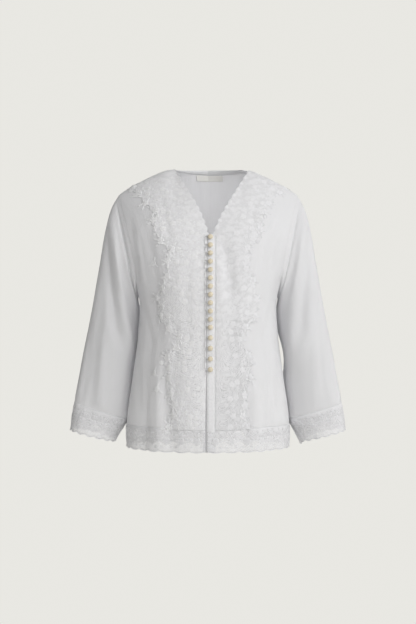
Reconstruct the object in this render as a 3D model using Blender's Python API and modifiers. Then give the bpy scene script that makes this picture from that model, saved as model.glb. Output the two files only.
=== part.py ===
"""Lace blouse, worn form: thin cotton walls, lace borders, sixteen ball buttons and their loops.

Metres, +Z up. The front faces -Y, and the wearer's left is at +X. The origin lies between the
neck points, at the height where the shoulders carry the blouse. A drop is a depth below it.
"""

import math

import bmesh
import bpy
import numpy as np
from mathutils import Vector

# Cloth and lace walls
CLOTH_WALL = 0.0012
LACE_WALL = 0.0010
STAND_WALL = 0.0027
SEAM_GAP = 0.0003
SHOULDER_GAP = 0.0009
BUTT_GAP = 0.0005
ARMHOLE_GAP = 0.0010
UNDERARM_GAP = 0.0017
LAYER_GAP = 0.0006
FRONT = -1
BACK = 1
WEARERS_RIGHT = -1
WEARERS_LEFT = 1

# The body of the blouse: a rounded section at each drop
DROP, HALF_WIDTH, FRONT_DEPTH, BACK_DEPTH = range(4)
TORSO = (
    (-0.040, 0.2050, 0.050, 0.078),
    (0.000, 0.2050, 0.056, 0.085),
    (0.060, 0.2050, 0.072, 0.090),
    (0.114, 0.2000, 0.092, 0.094),
    (0.163, 0.1900, 0.108, 0.097),
    (0.211, 0.1750, 0.119, 0.099),
    (0.270, 0.1520, 0.124, 0.100),
    (0.357, 0.1520, 0.121, 0.102),
    (0.447, 0.1635, 0.122, 0.105),
    (0.551, 0.1765, 0.125, 0.108),
    (0.610, 0.1750, 0.126, 0.109),
)
SECTION_POWER = 0.78
SHOULDER_ROUND = 0.130

# Height of the shoulder line over each distance from the middle
REACH, HEIGHT = range(2)
SHOULDER_LINE = (
    (0.000, 0.0370),
    (0.032, 0.0245),
    (0.056, 0.0088),
    (0.072, 0.0008),
    (0.080, -0.0002),
    (0.090, -0.0016),
    (0.119, -0.0130),
    (0.158, -0.0326),
    (0.187, -0.0493),
    (0.195, -0.0555),
    (0.210, -0.0680),
)
ARMHOLE_REACH = 1
ARMHOLE = (
    (0.0555, 0.1950),
    (0.0900, 0.1860),
    (0.1300, 0.1760),
    (0.1750, 0.1660),
    (0.2200, 0.1590),
    (0.2550, 0.1545),
    (0.2700, 0.1520),
)
UNDERARM_DROP = 0.270
SHOULDER_TIP_DROP = 0.0555

# Neck edges, where the scallops are, and the centre front line
V_RIGHT, V_LEFT = 1, 2
V_EDGE = (
    (0.000, -0.0723, 0.0894),
    (0.040, -0.0480, 0.0650),
    (0.080, -0.0245, 0.0408),
    (0.120, -0.0065, 0.0200),
    (0.145, 0.0015, 0.0104),
)
EDGING_WIDTH = 0.010
CENTRE_X = 1
CENTRE_FRONT = ((0.150, -0.0010), (0.250, -0.0030), (0.450, -0.0035), (0.605, -0.0045))
SLIT_CLOSED = 0.0005
SLIT_OPEN = 0.0020
SLIT_TOP_DROP = 0.420
STAND_REACH = 0.0155
STAND_TOP_DROP = 0.1478
BACK_NECK_RISE = 0.0062
BACK_NECK_CLOTH_RISE = -0.0015

# Rows of the front and back panels: their drops at the middle, and where the last ends at the side
ROW_DROPS = (
    *(0.000, 0.006, 0.018, 0.036, 0.060, 0.088, 0.117, 0.145, 0.150, 0.172, 0.200),
    *(0.228, 0.257, 0.287, 0.318, 0.350, 0.383, 0.417, 0.452, 0.487, 0.522, 0.557),
)
SIDE_END_DROP = 0.555
ARMHOLE_ROWS = 10
V_ROWS = 8
RIDGE_ROWS = 6
FRONT_COLUMNS = 10
SHOULDER_COLUMNS = 5
NECK_COLUMNS = 8
HEM_DROP_MIDDLE = 0.6035
HEM_DROP_SIDE = 0.6005

# Largest folds of the body: a soft trough (or ridge, depth above nought) between two points
FACE, TOP_X, TOP_DROP, END_X, END_DROP, SPREAD, DEPTH = range(7)
BODY_FOLDS = (
    (FRONT, -0.120, 0.285, -0.137, 0.600, 0.013, -0.0050),
    (FRONT, -0.098, 0.330, -0.104, 0.600, 0.014, 0.0030),
    (FRONT, 0.118, 0.300, 0.134, 0.600, 0.013, -0.0050),
    (FRONT, 0.092, 0.345, 0.100, 0.600, 0.014, 0.0032),
    (FRONT, -0.135, 0.110, -0.112, 0.300, 0.014, -0.0035),
    (FRONT, 0.138, 0.115, 0.114, 0.290, 0.014, -0.0035),
    (BACK, -0.122, 0.230, -0.136, 0.600, 0.014, -0.0060),
    (BACK, -0.074, 0.200, -0.084, 0.600, 0.016, 0.0050),
    (BACK, -0.030, 0.120, -0.038, 0.600, 0.014, -0.0045),
    (BACK, 0.034, 0.140, 0.040, 0.600, 0.014, -0.0045),
    (BACK, 0.078, 0.190, 0.086, 0.600, 0.016, 0.0050),
    (BACK, 0.124, 0.240, 0.138, 0.600, 0.014, -0.0060),
)

# Sleeve rings, from the armhole to the cuff edge
OUTER_REACH, OUTER_DROP, INNER_DROP, HALF_DEPTH, INNER_BACK, INNER_OUT = range(6)
SLEEVE_RINGS = (
    (0.1950, 0.0555, 0.2700, 0.0580, 0.000, 0.000),
    (0.2085, 0.0790, 0.2830, 0.0585, 0.008, 0.001),
    (0.2190, 0.1110, 0.2950, 0.0590, 0.016, 0.001),
    (0.2270, 0.1500, 0.3090, 0.0590, 0.023, 0.000),
    (0.2345, 0.1950, 0.3260, 0.0580, 0.028, 0.000),
    (0.2430, 0.2430, 0.3480, 0.0570, 0.030, 0.000),
    (0.2520, 0.2950, 0.3760, 0.0560, 0.030, 0.000),
    (0.2620, 0.3480, 0.4100, 0.0550, 0.030, 0.000),
    (0.2725, 0.4000, 0.4460, 0.0540, 0.030, 0.000),
    (0.2815, 0.4500, 0.4840, 0.0530, 0.030, 0.000),
    (0.2885, 0.4870, 0.5200, 0.0520, 0.030, 0.000),
    (0.2920, 0.5110, 0.5465, 0.0510, 0.028, 0.001),
    (0.2965, 0.5400, 0.5676, 0.0500, 0.020, 0.012),
    (0.2995, 0.5665, 0.5925, 0.0490, 0.012, 0.026),
)
CUFF_RING = 11
LAST_RING = 13
SLEEVE_CLEARANCE = 0.0042
ARMHOLE_FADE = 2.5
SLEEVE_COLUMNS = 20
SLEEVE_ROWS = 17
DAYLIGHT_DROP = 0.400
DAYLIGHT_HALF_LENGTH = 0.070
DAYLIGHT_GAP = 0.006

# Largest folds of the sleeves: turn in degrees from the outer edge round the front
TOP_TURN, TOP_RING, END_TURN, END_RING, TURN_SPREAD, FOLD_DEPTH = range(6)
SLEEVE_FOLDS = (
    (28, 1.5, 142, 7.5, 17, -0.0060),
    (10, 4.0, 62, 11.0, 16, -0.0040),
    (128, 2.0, 150, 6.0, 15, 0.0030),
    (100, 8.0, 84, 12.5, 18, -0.0035),
    (330, 1.5, 218, 8.0, 18, -0.0060),
    (345, 5.0, 300, 11.5, 17, -0.0040),
    (255, 8.0, 268, 12.5, 18, 0.0035),
)

# The wearer's left cuff hangs lower at the back of its inner side
CUFF_DIP = 0.010
CUFF_DIP_TURN = 205
CUFF_DIP_POWER = 8

# Scallops of the lace edges
NECK_SCALLOP_PITCH = 0.016
NECK_SCALLOP_DEPTH = 0.0035
NECK_STEPS = 6
HEM_SCALLOP_DEPTH = 0.0040
FRONT_HEM_SCALLOPS = 8
BACK_HEM_SCALLOPS = 16
HEM_STEPS = 4
CUFF_SCALLOPS = 15
CUFF_COLUMNS = 60
CUFF_SCALLOP_RINGS = 0.13

# Outer edge of the flower lace laid on the fronts
LACE_REACH = 1
LACE_EDGE = (
    (0.000, 0.1740),
    (0.047, 0.1660),
    (0.080, 0.1360),
    (0.111, 0.1180),
    (0.134, 0.1230),
    (0.163, 0.1010),
    (0.222, 0.0925),
    (0.262, 0.1060),
    (0.291, 0.1140),
    (0.337, 0.0960),
    (0.365, 0.0720),
    (0.398, 0.0950),
    (0.463, 0.0900),
    (0.505, 0.0840),
    (0.557, 0.0920),
)

# Buttons and their loops
BUTTON_DROP = 0.150
BUTTON_X = 0.0049
CLOSE_BUTTONS = 12
BUTTON_COUNT = 16
CLOSE_PITCH = 0.017
WIDE_PITCH = 0.022
BUTTON_RADIUS = 0.0054
SHANK_RADIUS = 0.0019
SHANK_HEIGHT = 0.0024
BUTTON_HEIGHT = 0.0088
BUTTON_SIDES = 8
BUTTON_ARCS = 5
LOOP_RADIUS = 0.0032
CORD_RADIUS = 0.0008
LOOP_EDGE_X = -0.0062
LOOP_ARC_STEPS = 4

# Neck label, bare
LABEL_LEFT = -0.0267
LABEL_RIGHT = 0.0342
LABEL_ROWS = ((0, 0.10), (1, 0.00), (1, 0.60))

COTTON_COLOUR = (0.78, 0.78, 0.80)
LACE_COLOUR = (0.86, 0.86, 0.88)
BUTTON_COLOUR = (0.76, 0.66, 0.47)
LABEL_COLOUR = (0.80, 0.78, 0.70)


def smooth_value(table, column, at):
    """A table's column at any place between its rows, as a smooth curve through them."""
    keys = np.array([row[0] for row in table])
    values = np.array([row[column] for row in table])
    slopes = np.gradient(values, keys)
    at = min(max(at, keys[0]), keys[-1])
    i = min(max(int(np.searchsorted(keys, at)) - 1, 0), len(keys) - 2)
    step = keys[i + 1] - keys[i]
    t = (at - keys[i]) / step
    start = values[i] * (1 + 2 * t) * (1 - t) ** 2 + slopes[i] * step * t * (1 - t) ** 2
    end = values[i + 1] * t * t * (3 - 2 * t) - slopes[i + 1] * step * t * t * (1 - t)
    return float(start + end)


def mix(a, b, t):
    return a + (b - a) * t


def ease(t):
    t = min(max(t, 0.0), 1.0)
    return t * t * (3 - 2 * t)


def half_width(z):
    return smooth_value(TORSO, HALF_WIDTH, -z)


def shoulder_height(x):
    return smooth_value(SHOULDER_LINE, HEIGHT, abs(x))


def turn_of(x, z):
    return math.asin(min(max(x / half_width(z), -1.0), 1.0))


def body_fold(face, x, z):
    """How far the body's folds move a point out (or in, below nought)."""
    out = 0.0
    for row in BODY_FOLDS:
        if row[FACE] != face:
            continue
        along = (-z - row[TOP_DROP]) / (row[END_DROP] - row[TOP_DROP])
        line = mix(row[TOP_X], row[END_X], along)
        across = (x - line) / row[SPREAD]
        out += row[DEPTH] * ease(along / 0.35) * math.exp(-across * across)
    return out


def body_point(face, turn, z, out=0.0):
    """A point of the body's surface, moved out from it. Turn 0 is the middle, 90 degrees the side."""
    x = half_width(z) * math.sin(turn)
    fall = min(max((shoulder_height(x) - z) / SHOULDER_ROUND, 0.0), 1.0)
    crown = math.sqrt(fall * (2 - fall))
    depth = smooth_value(TORSO, FRONT_DEPTH if face == FRONT else BACK_DEPTH, -z)
    level = abs(math.cos(turn)) ** SECTION_POWER
    fold = body_fold(face, x, z) + out
    gap = mix(SHOULDER_GAP, SEAM_GAP, crown)
    y = face * (gap / 2 + depth * level * crown + fold * math.cos(turn))
    return Vector((x + fold * math.sin(turn), y, z))


def side_reach(z):
    """Distance of the side seam, or of the armhole above the underarm."""
    if -z < UNDERARM_DROP:
        return smooth_value(ARMHOLE, ARMHOLE_REACH, -z)
    return half_width(z)


def side_drop(row):
    """Drop of a row's outer end: down the armhole at even turns, then down the side seam."""
    if row <= ARMHOLE_ROWS:
        part = (1 - math.cos(math.pi * row / ARMHOLE_ROWS)) / 2
        return mix(SHOULDER_TIP_DROP, UNDERARM_DROP, part)
    part = (row - ARMHOLE_ROWS) / (len(ROW_DROPS) - 1 - ARMHOLE_ROWS)
    return mix(UNDERARM_DROP, SIDE_END_DROP, mix(part, part * part, 0.35))


def slit_half(drop):
    return mix(SLIT_CLOSED, SLIT_OPEN, ease((drop - SLIT_TOP_DROP) / (HEM_DROP_MIDDLE - SLIT_TOP_DROP)))


def centre_edge(side, row):
    """Where a front panel's cloth starts at a row: beside the neck edging, then at the opening."""
    drop = ROW_DROPS[row]
    if row < V_ROWS:
        column = V_RIGHT if side == WEARERS_RIGHT else V_LEFT
        return smooth_value(V_EDGE, column, drop) + side * EDGING_WIDTH
    if side == WEARERS_LEFT:
        return STAND_REACH + BUTT_GAP
    return smooth_value(CENTRE_FRONT, CENTRE_X, drop) - slit_half(drop)


def row_point(face, start_x, end_x, z_start, z_end, part, lift=0.0):
    """A point on the way from a row's first point to its last, and its turn and height."""
    z = mix(z_start, z_end, part * part) + lift
    turn = mix(turn_of(start_x, z_start), turn_of(end_x, z_end), part)
    return body_point(face, turn, z)


def ridge_lift(start_x, end_x, part):
    """How far the shoulder line bows over the straight line between two of its points."""
    start_z = shoulder_height(start_x)
    end_z = shoulder_height(end_x)
    z = mix(start_z, end_z, part * part)
    turn = mix(turn_of(start_x, start_z), turn_of(end_x, end_z), part)
    return shoulder_height(half_width(z) * math.sin(turn)) - z


def front_rows(side):
    rows = []
    tip = side * side_reach(-SHOULDER_TIP_DROP)
    for i, drop in enumerate(ROW_DROPS):
        start_x = centre_edge(side, i)
        z_start = -drop
        z_end = -side_drop(i)
        if i == 0:
            z_start = shoulder_height(start_x)
        fade = 1 - ease(i / RIDGE_ROWS)
        points = []
        for j in range(FRONT_COLUMNS + 1):
            part = j / FRONT_COLUMNS
            lift = fade * ridge_lift(centre_edge(side, 0), tip, part)
            end_x = side * side_reach(z_end)
            points.append(row_point(FRONT, start_x, end_x, z_start, z_end, part, lift))
        rows.append(points)
    return rows


def neck_cloth_ends():
    return (
        V_EDGE[0][V_RIGHT] - EDGING_WIDTH,
        V_EDGE[0][V_LEFT] + EDGING_WIDTH,
    )


def neckline_z(x_first, x_last, rise, part):
    ends = mix(shoulder_height(x_first), shoulder_height(x_last), part)
    return ends + rise * math.sin(math.pi * part)


def back_top():
    """The back panel's top edge, from tip to tip, as distances and heights."""
    first, last = neck_cloth_ends()
    tip = side_reach(-SHOULDER_TIP_DROP)
    top = []
    for k in range(SHOULDER_COLUMNS):
        x = mix(-tip, first, k / SHOULDER_COLUMNS)
        top.append((x, shoulder_height(x)))
    for k in range(NECK_COLUMNS + 1):
        part = k / NECK_COLUMNS
        top.append((mix(first, last, part), neckline_z(first, last, BACK_NECK_CLOTH_RISE, part)))
    for k in range(1, SHOULDER_COLUMNS + 1):
        x = mix(last, tip, k / SHOULDER_COLUMNS)
        top.append((x, shoulder_height(x)))
    return top


def back_rows():
    top = back_top()
    tip_turn = turn_of(top[-1][0], -SHOULDER_TIP_DROP)
    rows = []
    for i, drop in enumerate(ROW_DROPS):
        fade = 1 - ease(i / RIDGE_ROWS)
        side_turn = turn_of(side_reach(-side_drop(i)), -side_drop(i))
        points = []
        for x_top, z_top in top:
            share = turn_of(x_top, z_top) / tip_turn
            level = -mix(drop, side_drop(i), share * share)
            first_level = -mix(0.0, SHOULDER_TIP_DROP, share * share)
            z = level + fade * (z_top - first_level)
            points.append(body_point(BACK, share * side_turn, z))
        rows.append(points)
    return rows


def surface_normals(rows):
    """Unit normals of a grid of points."""
    grid = np.array([[tuple(point) for point in row] for row in rows])
    down = np.gradient(grid, axis=0)
    across = np.gradient(grid, axis=1)
    normals = np.cross(down, across)
    normals /= np.linalg.norm(normals, axis=2, keepdims=True)
    return [[Vector(normal) for normal in row] for row in normals]


def moved_out(rows, distance, outward):
    """A grid's points moved along its normals, on the side of the outward direction."""
    normals = surface_normals(rows)
    moved = []
    for points, directions in zip(rows, normals):
        line = []
        for point, direction in zip(points, directions):
            sign = 1 if direction.dot(outward) > 0 else -1
            line.append(point + direction * (sign * distance))
        moved.append(line)
    return moved


def material(name, colour, roughness):
    made = bpy.data.materials.new(name)
    made.use_nodes = True
    shader = made.node_tree.nodes["Principled BSDF"]
    shader.inputs["Base Color"].default_value = (*colour, 1)
    shader.inputs["Roughness"].default_value = roughness
    shader.inputs["Metallic"].default_value = 0
    return made


def add_object(name, data, stuff):
    thing = bpy.data.objects.new(name, data)
    data.materials.append(stuff)
    blouse.objects.link(thing)
    thing.parent = hanging_point
    return thing


def add_wall(name, mesh, wall, stuff):
    thing = add_object(name, mesh, stuff)
    mesh.shade_smooth()
    solidify = thing.modifiers.new("wall", "SOLIDIFY")
    solidify.thickness = wall
    solidify.offset = 0
    return thing


def loft(name, rows, wall, stuff, closed=False):
    """A wall through rows of points; each row is a line, or a ring where it is closed."""
    bm = bmesh.new()
    lines = [[bm.verts.new(point) for point in row] for row in rows]
    for upper, lower in zip(lines, lines[1:]):
        count = len(upper) if closed else len(upper) - 1
        for j in range(count):
            k = (j + 1) % len(upper)
            bm.faces.new((upper[j], lower[j], lower[k]))
            bm.faces.new((upper[j], lower[k], upper[k]))
    mesh = bpy.data.meshes.new(name)
    bm.to_mesh(mesh)
    bm.free()
    return add_wall(name, mesh, wall, stuff)


def front_panel(side, name):
    rows = front_rows(side)
    loft(name, rows, CLOTH_WALL, cotton)
    return rows


def flower_lace(side, name, panel):
    """Lace laid on a front panel, as far as its lobed outer edge; made from the panel's points."""
    out = CLOTH_WALL / 2 + LAYER_GAP + LACE_WALL / 2
    rows = moved_out(panel, out, Vector((0, FRONT, 0)))
    bm = bmesh.new()
    made = {}

    def spare(i, j):
        return smooth_value(LACE_EDGE, LACE_REACH, -panel[i][j].z) - side * panel[i][j].x

    def corner(at):
        if at not in made:
            made[at] = bm.verts.new(rows[at[0]][at[1]])
        return made[at]

    def crossing(a, b):
        key = (min(a, b), max(a, b))
        if key not in made:
            first, last = spare(*key[0]), spare(*key[1])
            part = min(max(first / (first - last), 0.2), 0.8)
            made[key] = bm.verts.new(
                rows[key[0][0]][key[0][1]].lerp(rows[key[1][0]][key[1][1]], part)
            )
        return made[key]

    for i in range(len(rows) - 1):
        for j in range(len(rows[0]) - 1):
            start, across = (i, j), (i + 1, j + 1)
            for triangle in ((start, (i + 1, j), across), (start, across, (i, j + 1))):
                outline = []
                for here, after in zip(triangle, triangle[1:] + triangle[:1]):
                    if spare(*here) > 0:
                        outline.append(corner(here))
                    if (spare(*here) > 0) != (spare(*after) > 0):
                        outline.append(crossing(here, after))
                if len(outline) > 2:
                    bm.faces.new(outline)
    mesh = bpy.data.meshes.new(name)
    bm.to_mesh(mesh)
    bm.free()
    add_wall(name, mesh, LACE_WALL, lace)


def scallop(phase):
    """Depth of a scalloped edge, 0 between two scallops and 1 at the middle of one."""
    return abs(math.sin(math.pi * phase))


def neck_edging(side, name, panel):
    """The scalloped strip between a front's cloth and the open neck."""
    column = V_RIGHT if side == WEARERS_RIGHT else V_LEFT
    cloth_side = []
    neck_side = []
    length = 0.0
    last = None
    for i in range(V_ROWS - 1):
        steps = NECK_STEPS + (1 if i == V_ROWS - 2 else 0)
        for k in range(steps):
            base = panel[i][0].lerp(panel[i + 1][0], k / NECK_STEPS)
            drop = max(-base.z, 0.0)
            x_edge = smooth_value(V_EDGE, column, drop)
            z = shoulder_height(x_edge) if i == 0 and k == 0 else base.z
            if last is not None:
                length += (Vector((x_edge, 0, z)) - last).length
            last = Vector((x_edge, 0, z))
            depth = NECK_SCALLOP_DEPTH * scallop(length / NECK_SCALLOP_PITCH)
            edge_x = x_edge + side * (NECK_SCALLOP_DEPTH - depth)
            edge = body_point(FRONT, turn_of(edge_x, z), z)
            if i == 0:
                edge.y = min(edge.y, base.y)
            cloth_side.append(base + (edge - base).normalized() * BUTT_GAP)
            neck_side.append(edge)
    end_lift = Vector((0, 0, BUTT_GAP))
    cloth_side[-1] += end_lift
    neck_side[-1] += end_lift
    middle = [a.lerp(b, 0.5) for a, b in zip(cloth_side, neck_side)]
    loft(name, [cloth_side, middle, neck_side], LACE_WALL, lace)


def neck_binding(panel):
    """The narrow strip along the back of the neck."""
    first = V_EDGE[0][V_RIGHT]
    last = V_EDGE[0][V_LEFT]
    cloth_side = []
    neck_side = []
    for k in range(NECK_COLUMNS + 1):
        part = k / NECK_COLUMNS
        base = panel[0][SHOULDER_COLUMNS + k]
        x = mix(first, last, part)
        z = neckline_z(first, last, BACK_NECK_RISE, part)
        edge = body_point(BACK, turn_of(x, z), z)
        cloth_side.append(base + (edge - base).normalized() * BUTT_GAP)
        neck_side.append(edge)
    loft("neck_binding_back", [cloth_side, neck_side], LACE_WALL, cotton)


def hem_lace(name, face, first_x, side_first, last_x, side_last, scallops):
    """A hem border under a panel, from one edge of it to the other, with a scalloped end."""
    steps = scallops * HEM_STEPS
    lines = [[], [], []]
    for k in range(steps + 1):
        part = k / steps
        off_middle = mix(side_first, side_last, part) ** 2
        top = mix(ROW_DROPS[-1], SIDE_END_DROP, off_middle) + BUTT_GAP
        hem = mix(HEM_DROP_MIDDLE, HEM_DROP_SIDE, off_middle)
        end = hem - HEM_SCALLOP_DEPTH * (1 - scallop(k / HEM_STEPS))
        turn_first = mix(0.0, math.copysign(math.pi / 2, side_first), abs(side_first))
        turn_last = mix(0.0, math.copysign(math.pi / 2, side_last), abs(side_last))
        for line, drop in zip(lines, (top, mix(top, end, 0.5), end)):
            if abs(side_first) < 1:
                turn_first = turn_of(first_x(drop), -drop)
            if abs(side_last) < 1:
                turn_last = turn_of(last_x(drop), -drop)
            line.append(body_point(face, mix(turn_first, turn_last, part), -drop))
    loft(name, lines, LACE_WALL, lace)


def right_opening_edge(drop):
    return smooth_value(CENTRE_FRONT, CENTRE_X, drop) - slit_half(drop)


def left_opening_edge(drop):
    return smooth_value(CENTRE_FRONT, CENTRE_X, drop) + slit_half(drop)


def daylight(side, drop):
    """1 where the wearer's left sleeve stands off the body, 0 away from there."""
    if side == WEARERS_RIGHT:
        return 0.0
    return 1 - ease(abs(drop - DAYLIGHT_DROP) / DAYLIGHT_HALF_LENGTH)


def sleeve_ellipse(side, turn, ring):
    """A point of a sleeve's ring. Turn 0 is its outer edge, 90 degrees its front."""
    row = [mix_ring(column, ring) for column in range(6)]
    gap = daylight(side, row[INNER_DROP])
    back = row[INNER_BACK] * (1 - 0.8 * gap)
    drop = row[INNER_DROP]
    depth = smooth_value(TORSO, BACK_DEPTH, drop)
    body_turn = math.acos(min(back / depth, 1.0) ** (1 / SECTION_POWER))
    clear = SLEEVE_CLEARANCE * ease(ring) + DAYLIGHT_GAP * gap + row[INNER_OUT]
    inner_x = half_width(-drop) * math.sin(body_turn) + clear
    middle_x = (row[OUTER_REACH] + inner_x) / 2
    middle_drop = (row[OUTER_DROP] + drop) / 2
    half_x = (row[OUTER_REACH] - inner_x) / 2
    half_drop = (row[OUTER_DROP] - drop) / 2
    y = back * (1 - math.cos(turn)) / 2 - row[HALF_DEPTH] * math.sin(turn)
    x = middle_x + half_x * math.cos(turn)
    return Vector((side * x, y, -(middle_drop + half_drop * math.cos(turn))))


def mix_ring(column, ring):
    numbered = [(k, row[column]) for k, row in enumerate(SLEEVE_RINGS)]
    return smooth_value(numbered, 1, min(ring, LAST_RING))


def armhole_point(side, turn):
    """The armhole loop, at the same turns as the sleeve's rings."""
    part = (1 - math.cos(turn)) / 2
    z = -mix(SHOULDER_TIP_DROP, UNDERARM_DROP, part)
    face = FRONT if math.sin(turn) > 0 else BACK
    point = body_point(face, side * turn_of(side_reach(z), z), z)
    if abs(math.sin(turn)) < 1e-6:
        point.y = 0
    return point


def sleeve_fold(turn, ring):
    """How far a sleeve's folds move a point out from its middle line."""
    out = 0.0
    degrees = math.degrees(turn)
    for row in SLEEVE_FOLDS:
        along = (ring - row[TOP_RING]) / (row[END_RING] - row[TOP_RING])
        line = mix(row[TOP_TURN], row[END_TURN], along)
        away = (degrees - line + 180) % 360 - 180
        window = ease(along / 0.25) * ease((1 - along) / 0.25)
        out += row[FOLD_DEPTH] * window * math.exp(-((away / row[TURN_SPREAD]) ** 2))
    return out


def sleeve_point(side, turn, ring):
    point = sleeve_ellipse(side, turn, ring)
    fade = 1 - ease(ring / ARMHOLE_FADE)
    point += (armhole_point(side, turn) - sleeve_ellipse(side, turn, 0)) * fade
    middle = (sleeve_ellipse(side, 0, ring) + sleeve_ellipse(side, math.pi, ring)) / 2
    direction = (point - middle).normalized()
    point += direction * sleeve_fold(turn, ring)
    over = ring - LAST_RING
    if over > 0:
        below = sleeve_ellipse(side, turn, LAST_RING) - sleeve_ellipse(side, turn, LAST_RING - 1)
        point += below * over
    if side == WEARERS_LEFT:
        near = max(math.cos(turn - math.radians(CUFF_DIP_TURN)), 0.0) ** CUFF_DIP_POWER
        point.z -= CUFF_DIP * near * ease((ring - CUFF_RING) / (LAST_RING - CUFF_RING))
    return point


def sleeve_ring(side, ring, count):
    return [sleeve_point(side, 2 * math.pi * j / count, ring) for j in range(count)]


def sleeve(side, name):
    rings = [CUFF_RING * (k / (SLEEVE_ROWS - 1)) ** 1.05 for k in range(SLEEVE_ROWS)]
    rows = [sleeve_ring(side, ring, SLEEVE_COLUMNS) for ring in rings]
    start = []
    for j, (here, after) in enumerate(zip(rows[0], rows[1])):
        low = (1 - math.cos(2 * math.pi * j / SLEEVE_COLUMNS)) / 2
        aside = Vector((side * UNDERARM_GAP * low**4, 0, 0))
        start.append(here + (after - here).normalized() * ARMHOLE_GAP + aside)
    rows[0] = start
    loft(name, rows, CLOTH_WALL, cotton, closed=True)


def cuff_lace(side, name):
    """The lace band round a cuff, butted to the sleeve, with a scalloped end."""
    spacing = (sleeve_point(side, 0, CUFF_RING + 1) - sleeve_point(side, 0, CUFF_RING)).length
    rows = []
    for ring in (CUFF_RING + BUTT_GAP / spacing * 1.3, CUFF_RING + 1):
        rows.append(sleeve_ring(side, ring, CUFF_COLUMNS))
    edge = []
    for j in range(CUFF_COLUMNS):
        depth = CUFF_SCALLOP_RINGS * (scallop(j * CUFF_SCALLOPS / CUFF_COLUMNS) - 1)
        edge.append(sleeve_point(side, 2 * math.pi * j / CUFF_COLUMNS, LAST_RING + depth))
    rows.append(edge)
    loft(name, rows, LACE_WALL, lace, closed=True)


def button_stand(panel):
    """The folded strip under the buttons, on the wearer's left front."""
    out = (STAND_WALL - CLOTH_WALL) / 2
    rows = []
    for i in range(V_ROWS, len(ROW_DROPS)):
        drop = max(ROW_DROPS[i], STAND_TOP_DROP)
        start = left_opening_edge(drop)
        line = []
        for k in range(3):
            x = mix(start, STAND_REACH, k / 2)
            line.append(body_point(FRONT, turn_of(x, -drop), -drop, out))
        rows.append(line)
    loft("button_stand", rows, STAND_WALL, cotton)


def stand_face(x, drop, out):
    """A point over the flat facets of the button stand's outer face."""
    below = next(k for k in range(V_ROWS + 1, len(ROW_DROPS)) if ROW_DROPS[k] >= drop)
    upper, lower = (max(ROW_DROPS[k], STAND_TOP_DROP) for k in (below - 1, below))
    first, last = (body_point(FRONT, turn_of(x, -at), -at) for at in (upper, lower))
    normal = (last - first).cross(Vector((1, 0, 0))).normalized()
    point = first.lerp(last, (drop - upper) / (lower - upper))
    return point + normal * (STAND_WALL - CLOTH_WALL / 2 + out)


def button_drops():
    drops = [BUTTON_DROP + 0.0045]
    for k in range(1, BUTTON_COUNT):
        drops.append(drops[-1] + (CLOSE_PITCH if k < CLOSE_BUTTONS else WIDE_PITCH))
    return drops


def button_mesh():
    """Half of a ball button's outline, top to foot, which the Screw modifier turns."""
    half_height = (BUTTON_HEIGHT - SHANK_HEIGHT) / 2
    outline = [(0.0, BUTTON_HEIGHT)]
    for k in range(1, BUTTON_ARCS):
        angle = math.pi * (0.5 - k / BUTTON_ARCS)
        outline.append((BUTTON_RADIUS * math.cos(angle), BUTTON_HEIGHT - half_height * (1 - math.sin(angle))))
    outline.append((SHANK_RADIUS, SHANK_HEIGHT))
    outline.append((SHANK_RADIUS, 0.0))
    outline.append((0.0, 0.0))
    bm = bmesh.new()
    points = [bm.verts.new((x, 0, z)) for x, z in outline]
    for a, b in zip(points, points[1:]):
        bm.edges.new((a, b))
    mesh = bpy.data.meshes.new("ball_button")
    bm.to_mesh(mesh)
    bm.free()
    return mesh


def add_buttons():
    mesh = button_mesh()
    mesh.materials.append(pearl)
    for number, drop in enumerate(button_drops(), 1):
        button = bpy.data.objects.new(f"button_{number:02d}", mesh)
        blouse.objects.link(button)
        button.parent = hanging_point
        foot = stand_face(BUTTON_X, drop, SEAM_GAP)
        button.location = foot
        out = stand_face(BUTTON_X, drop, SEAM_GAP + BUTTON_HEIGHT) - foot
        button.rotation_euler = out.to_track_quat("Z", "Y").to_euler()
        screw = button.modifiers.new("turned", "SCREW")
        screw.steps = BUTTON_SIDES
        screw.render_steps = BUTTON_SIDES
        screw.use_merge_vertices = True
        screw.merge_threshold = 0.0001
        screw.use_smooth_shade = True


def loop_braid():
    """One cord that runs down the opening's edge and round the foot of every button."""
    height = SEAM_GAP + CORD_RADIUS
    points = []
    for drop in button_drops():
        points.append((LOOP_EDGE_X, drop - LOOP_RADIUS))
        for k in range(LOOP_ARC_STEPS + 1):
            angle = math.pi * (0.5 - k / LOOP_ARC_STEPS)
            points.append(
                (BUTTON_X + LOOP_RADIUS * math.cos(angle), drop - LOOP_RADIUS * math.sin(angle))
            )
        points.append((LOOP_EDGE_X, drop + LOOP_RADIUS))
    curve = bpy.data.curves.new("loop_braid", "CURVE")
    curve.dimensions = "3D"
    curve.bevel_depth = CORD_RADIUS
    curve.bevel_resolution = 0
    curve.use_fill_caps = True
    spline = curve.splines.new("POLY")
    spline.points.add(len(points) - 1)
    for target, (x, drop) in zip(spline.points, points):
        target.co = (*stand_face(x, drop, height), 1)
    add_object("loop_braid", curve, lace)


def between_columns(row, x):
    """The point of a row at a distance x, on the straight piece between two of its points."""
    for before, after in zip(row, row[1:]):
        if before.x <= x < after.x:
            return before.lerp(after, (x - before.x) / (after.x - before.x))
    return row[-1]


def neck_label(panel):
    """A bare woven label inside the back of the neck, made from the back's points moved in."""
    inward = CLOTH_WALL / 2 + LAYER_GAP + LACE_WALL / 2
    inside = moved_out(panel, inward, Vector((0, FRONT, 0)))
    rows = []
    for above, share in LABEL_ROWS:
        line = [a.lerp(b, share) for a, b in zip(inside[above], inside[above + 1])]
        middle = [point for point in line if LABEL_LEFT < point.x < LABEL_RIGHT]
        ends = (between_columns(line, LABEL_LEFT), between_columns(line, LABEL_RIGHT))
        rows.append([ends[0], *middle, ends[1]])
    loft("neck_label", rows, LACE_WALL, label_cloth)


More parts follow.
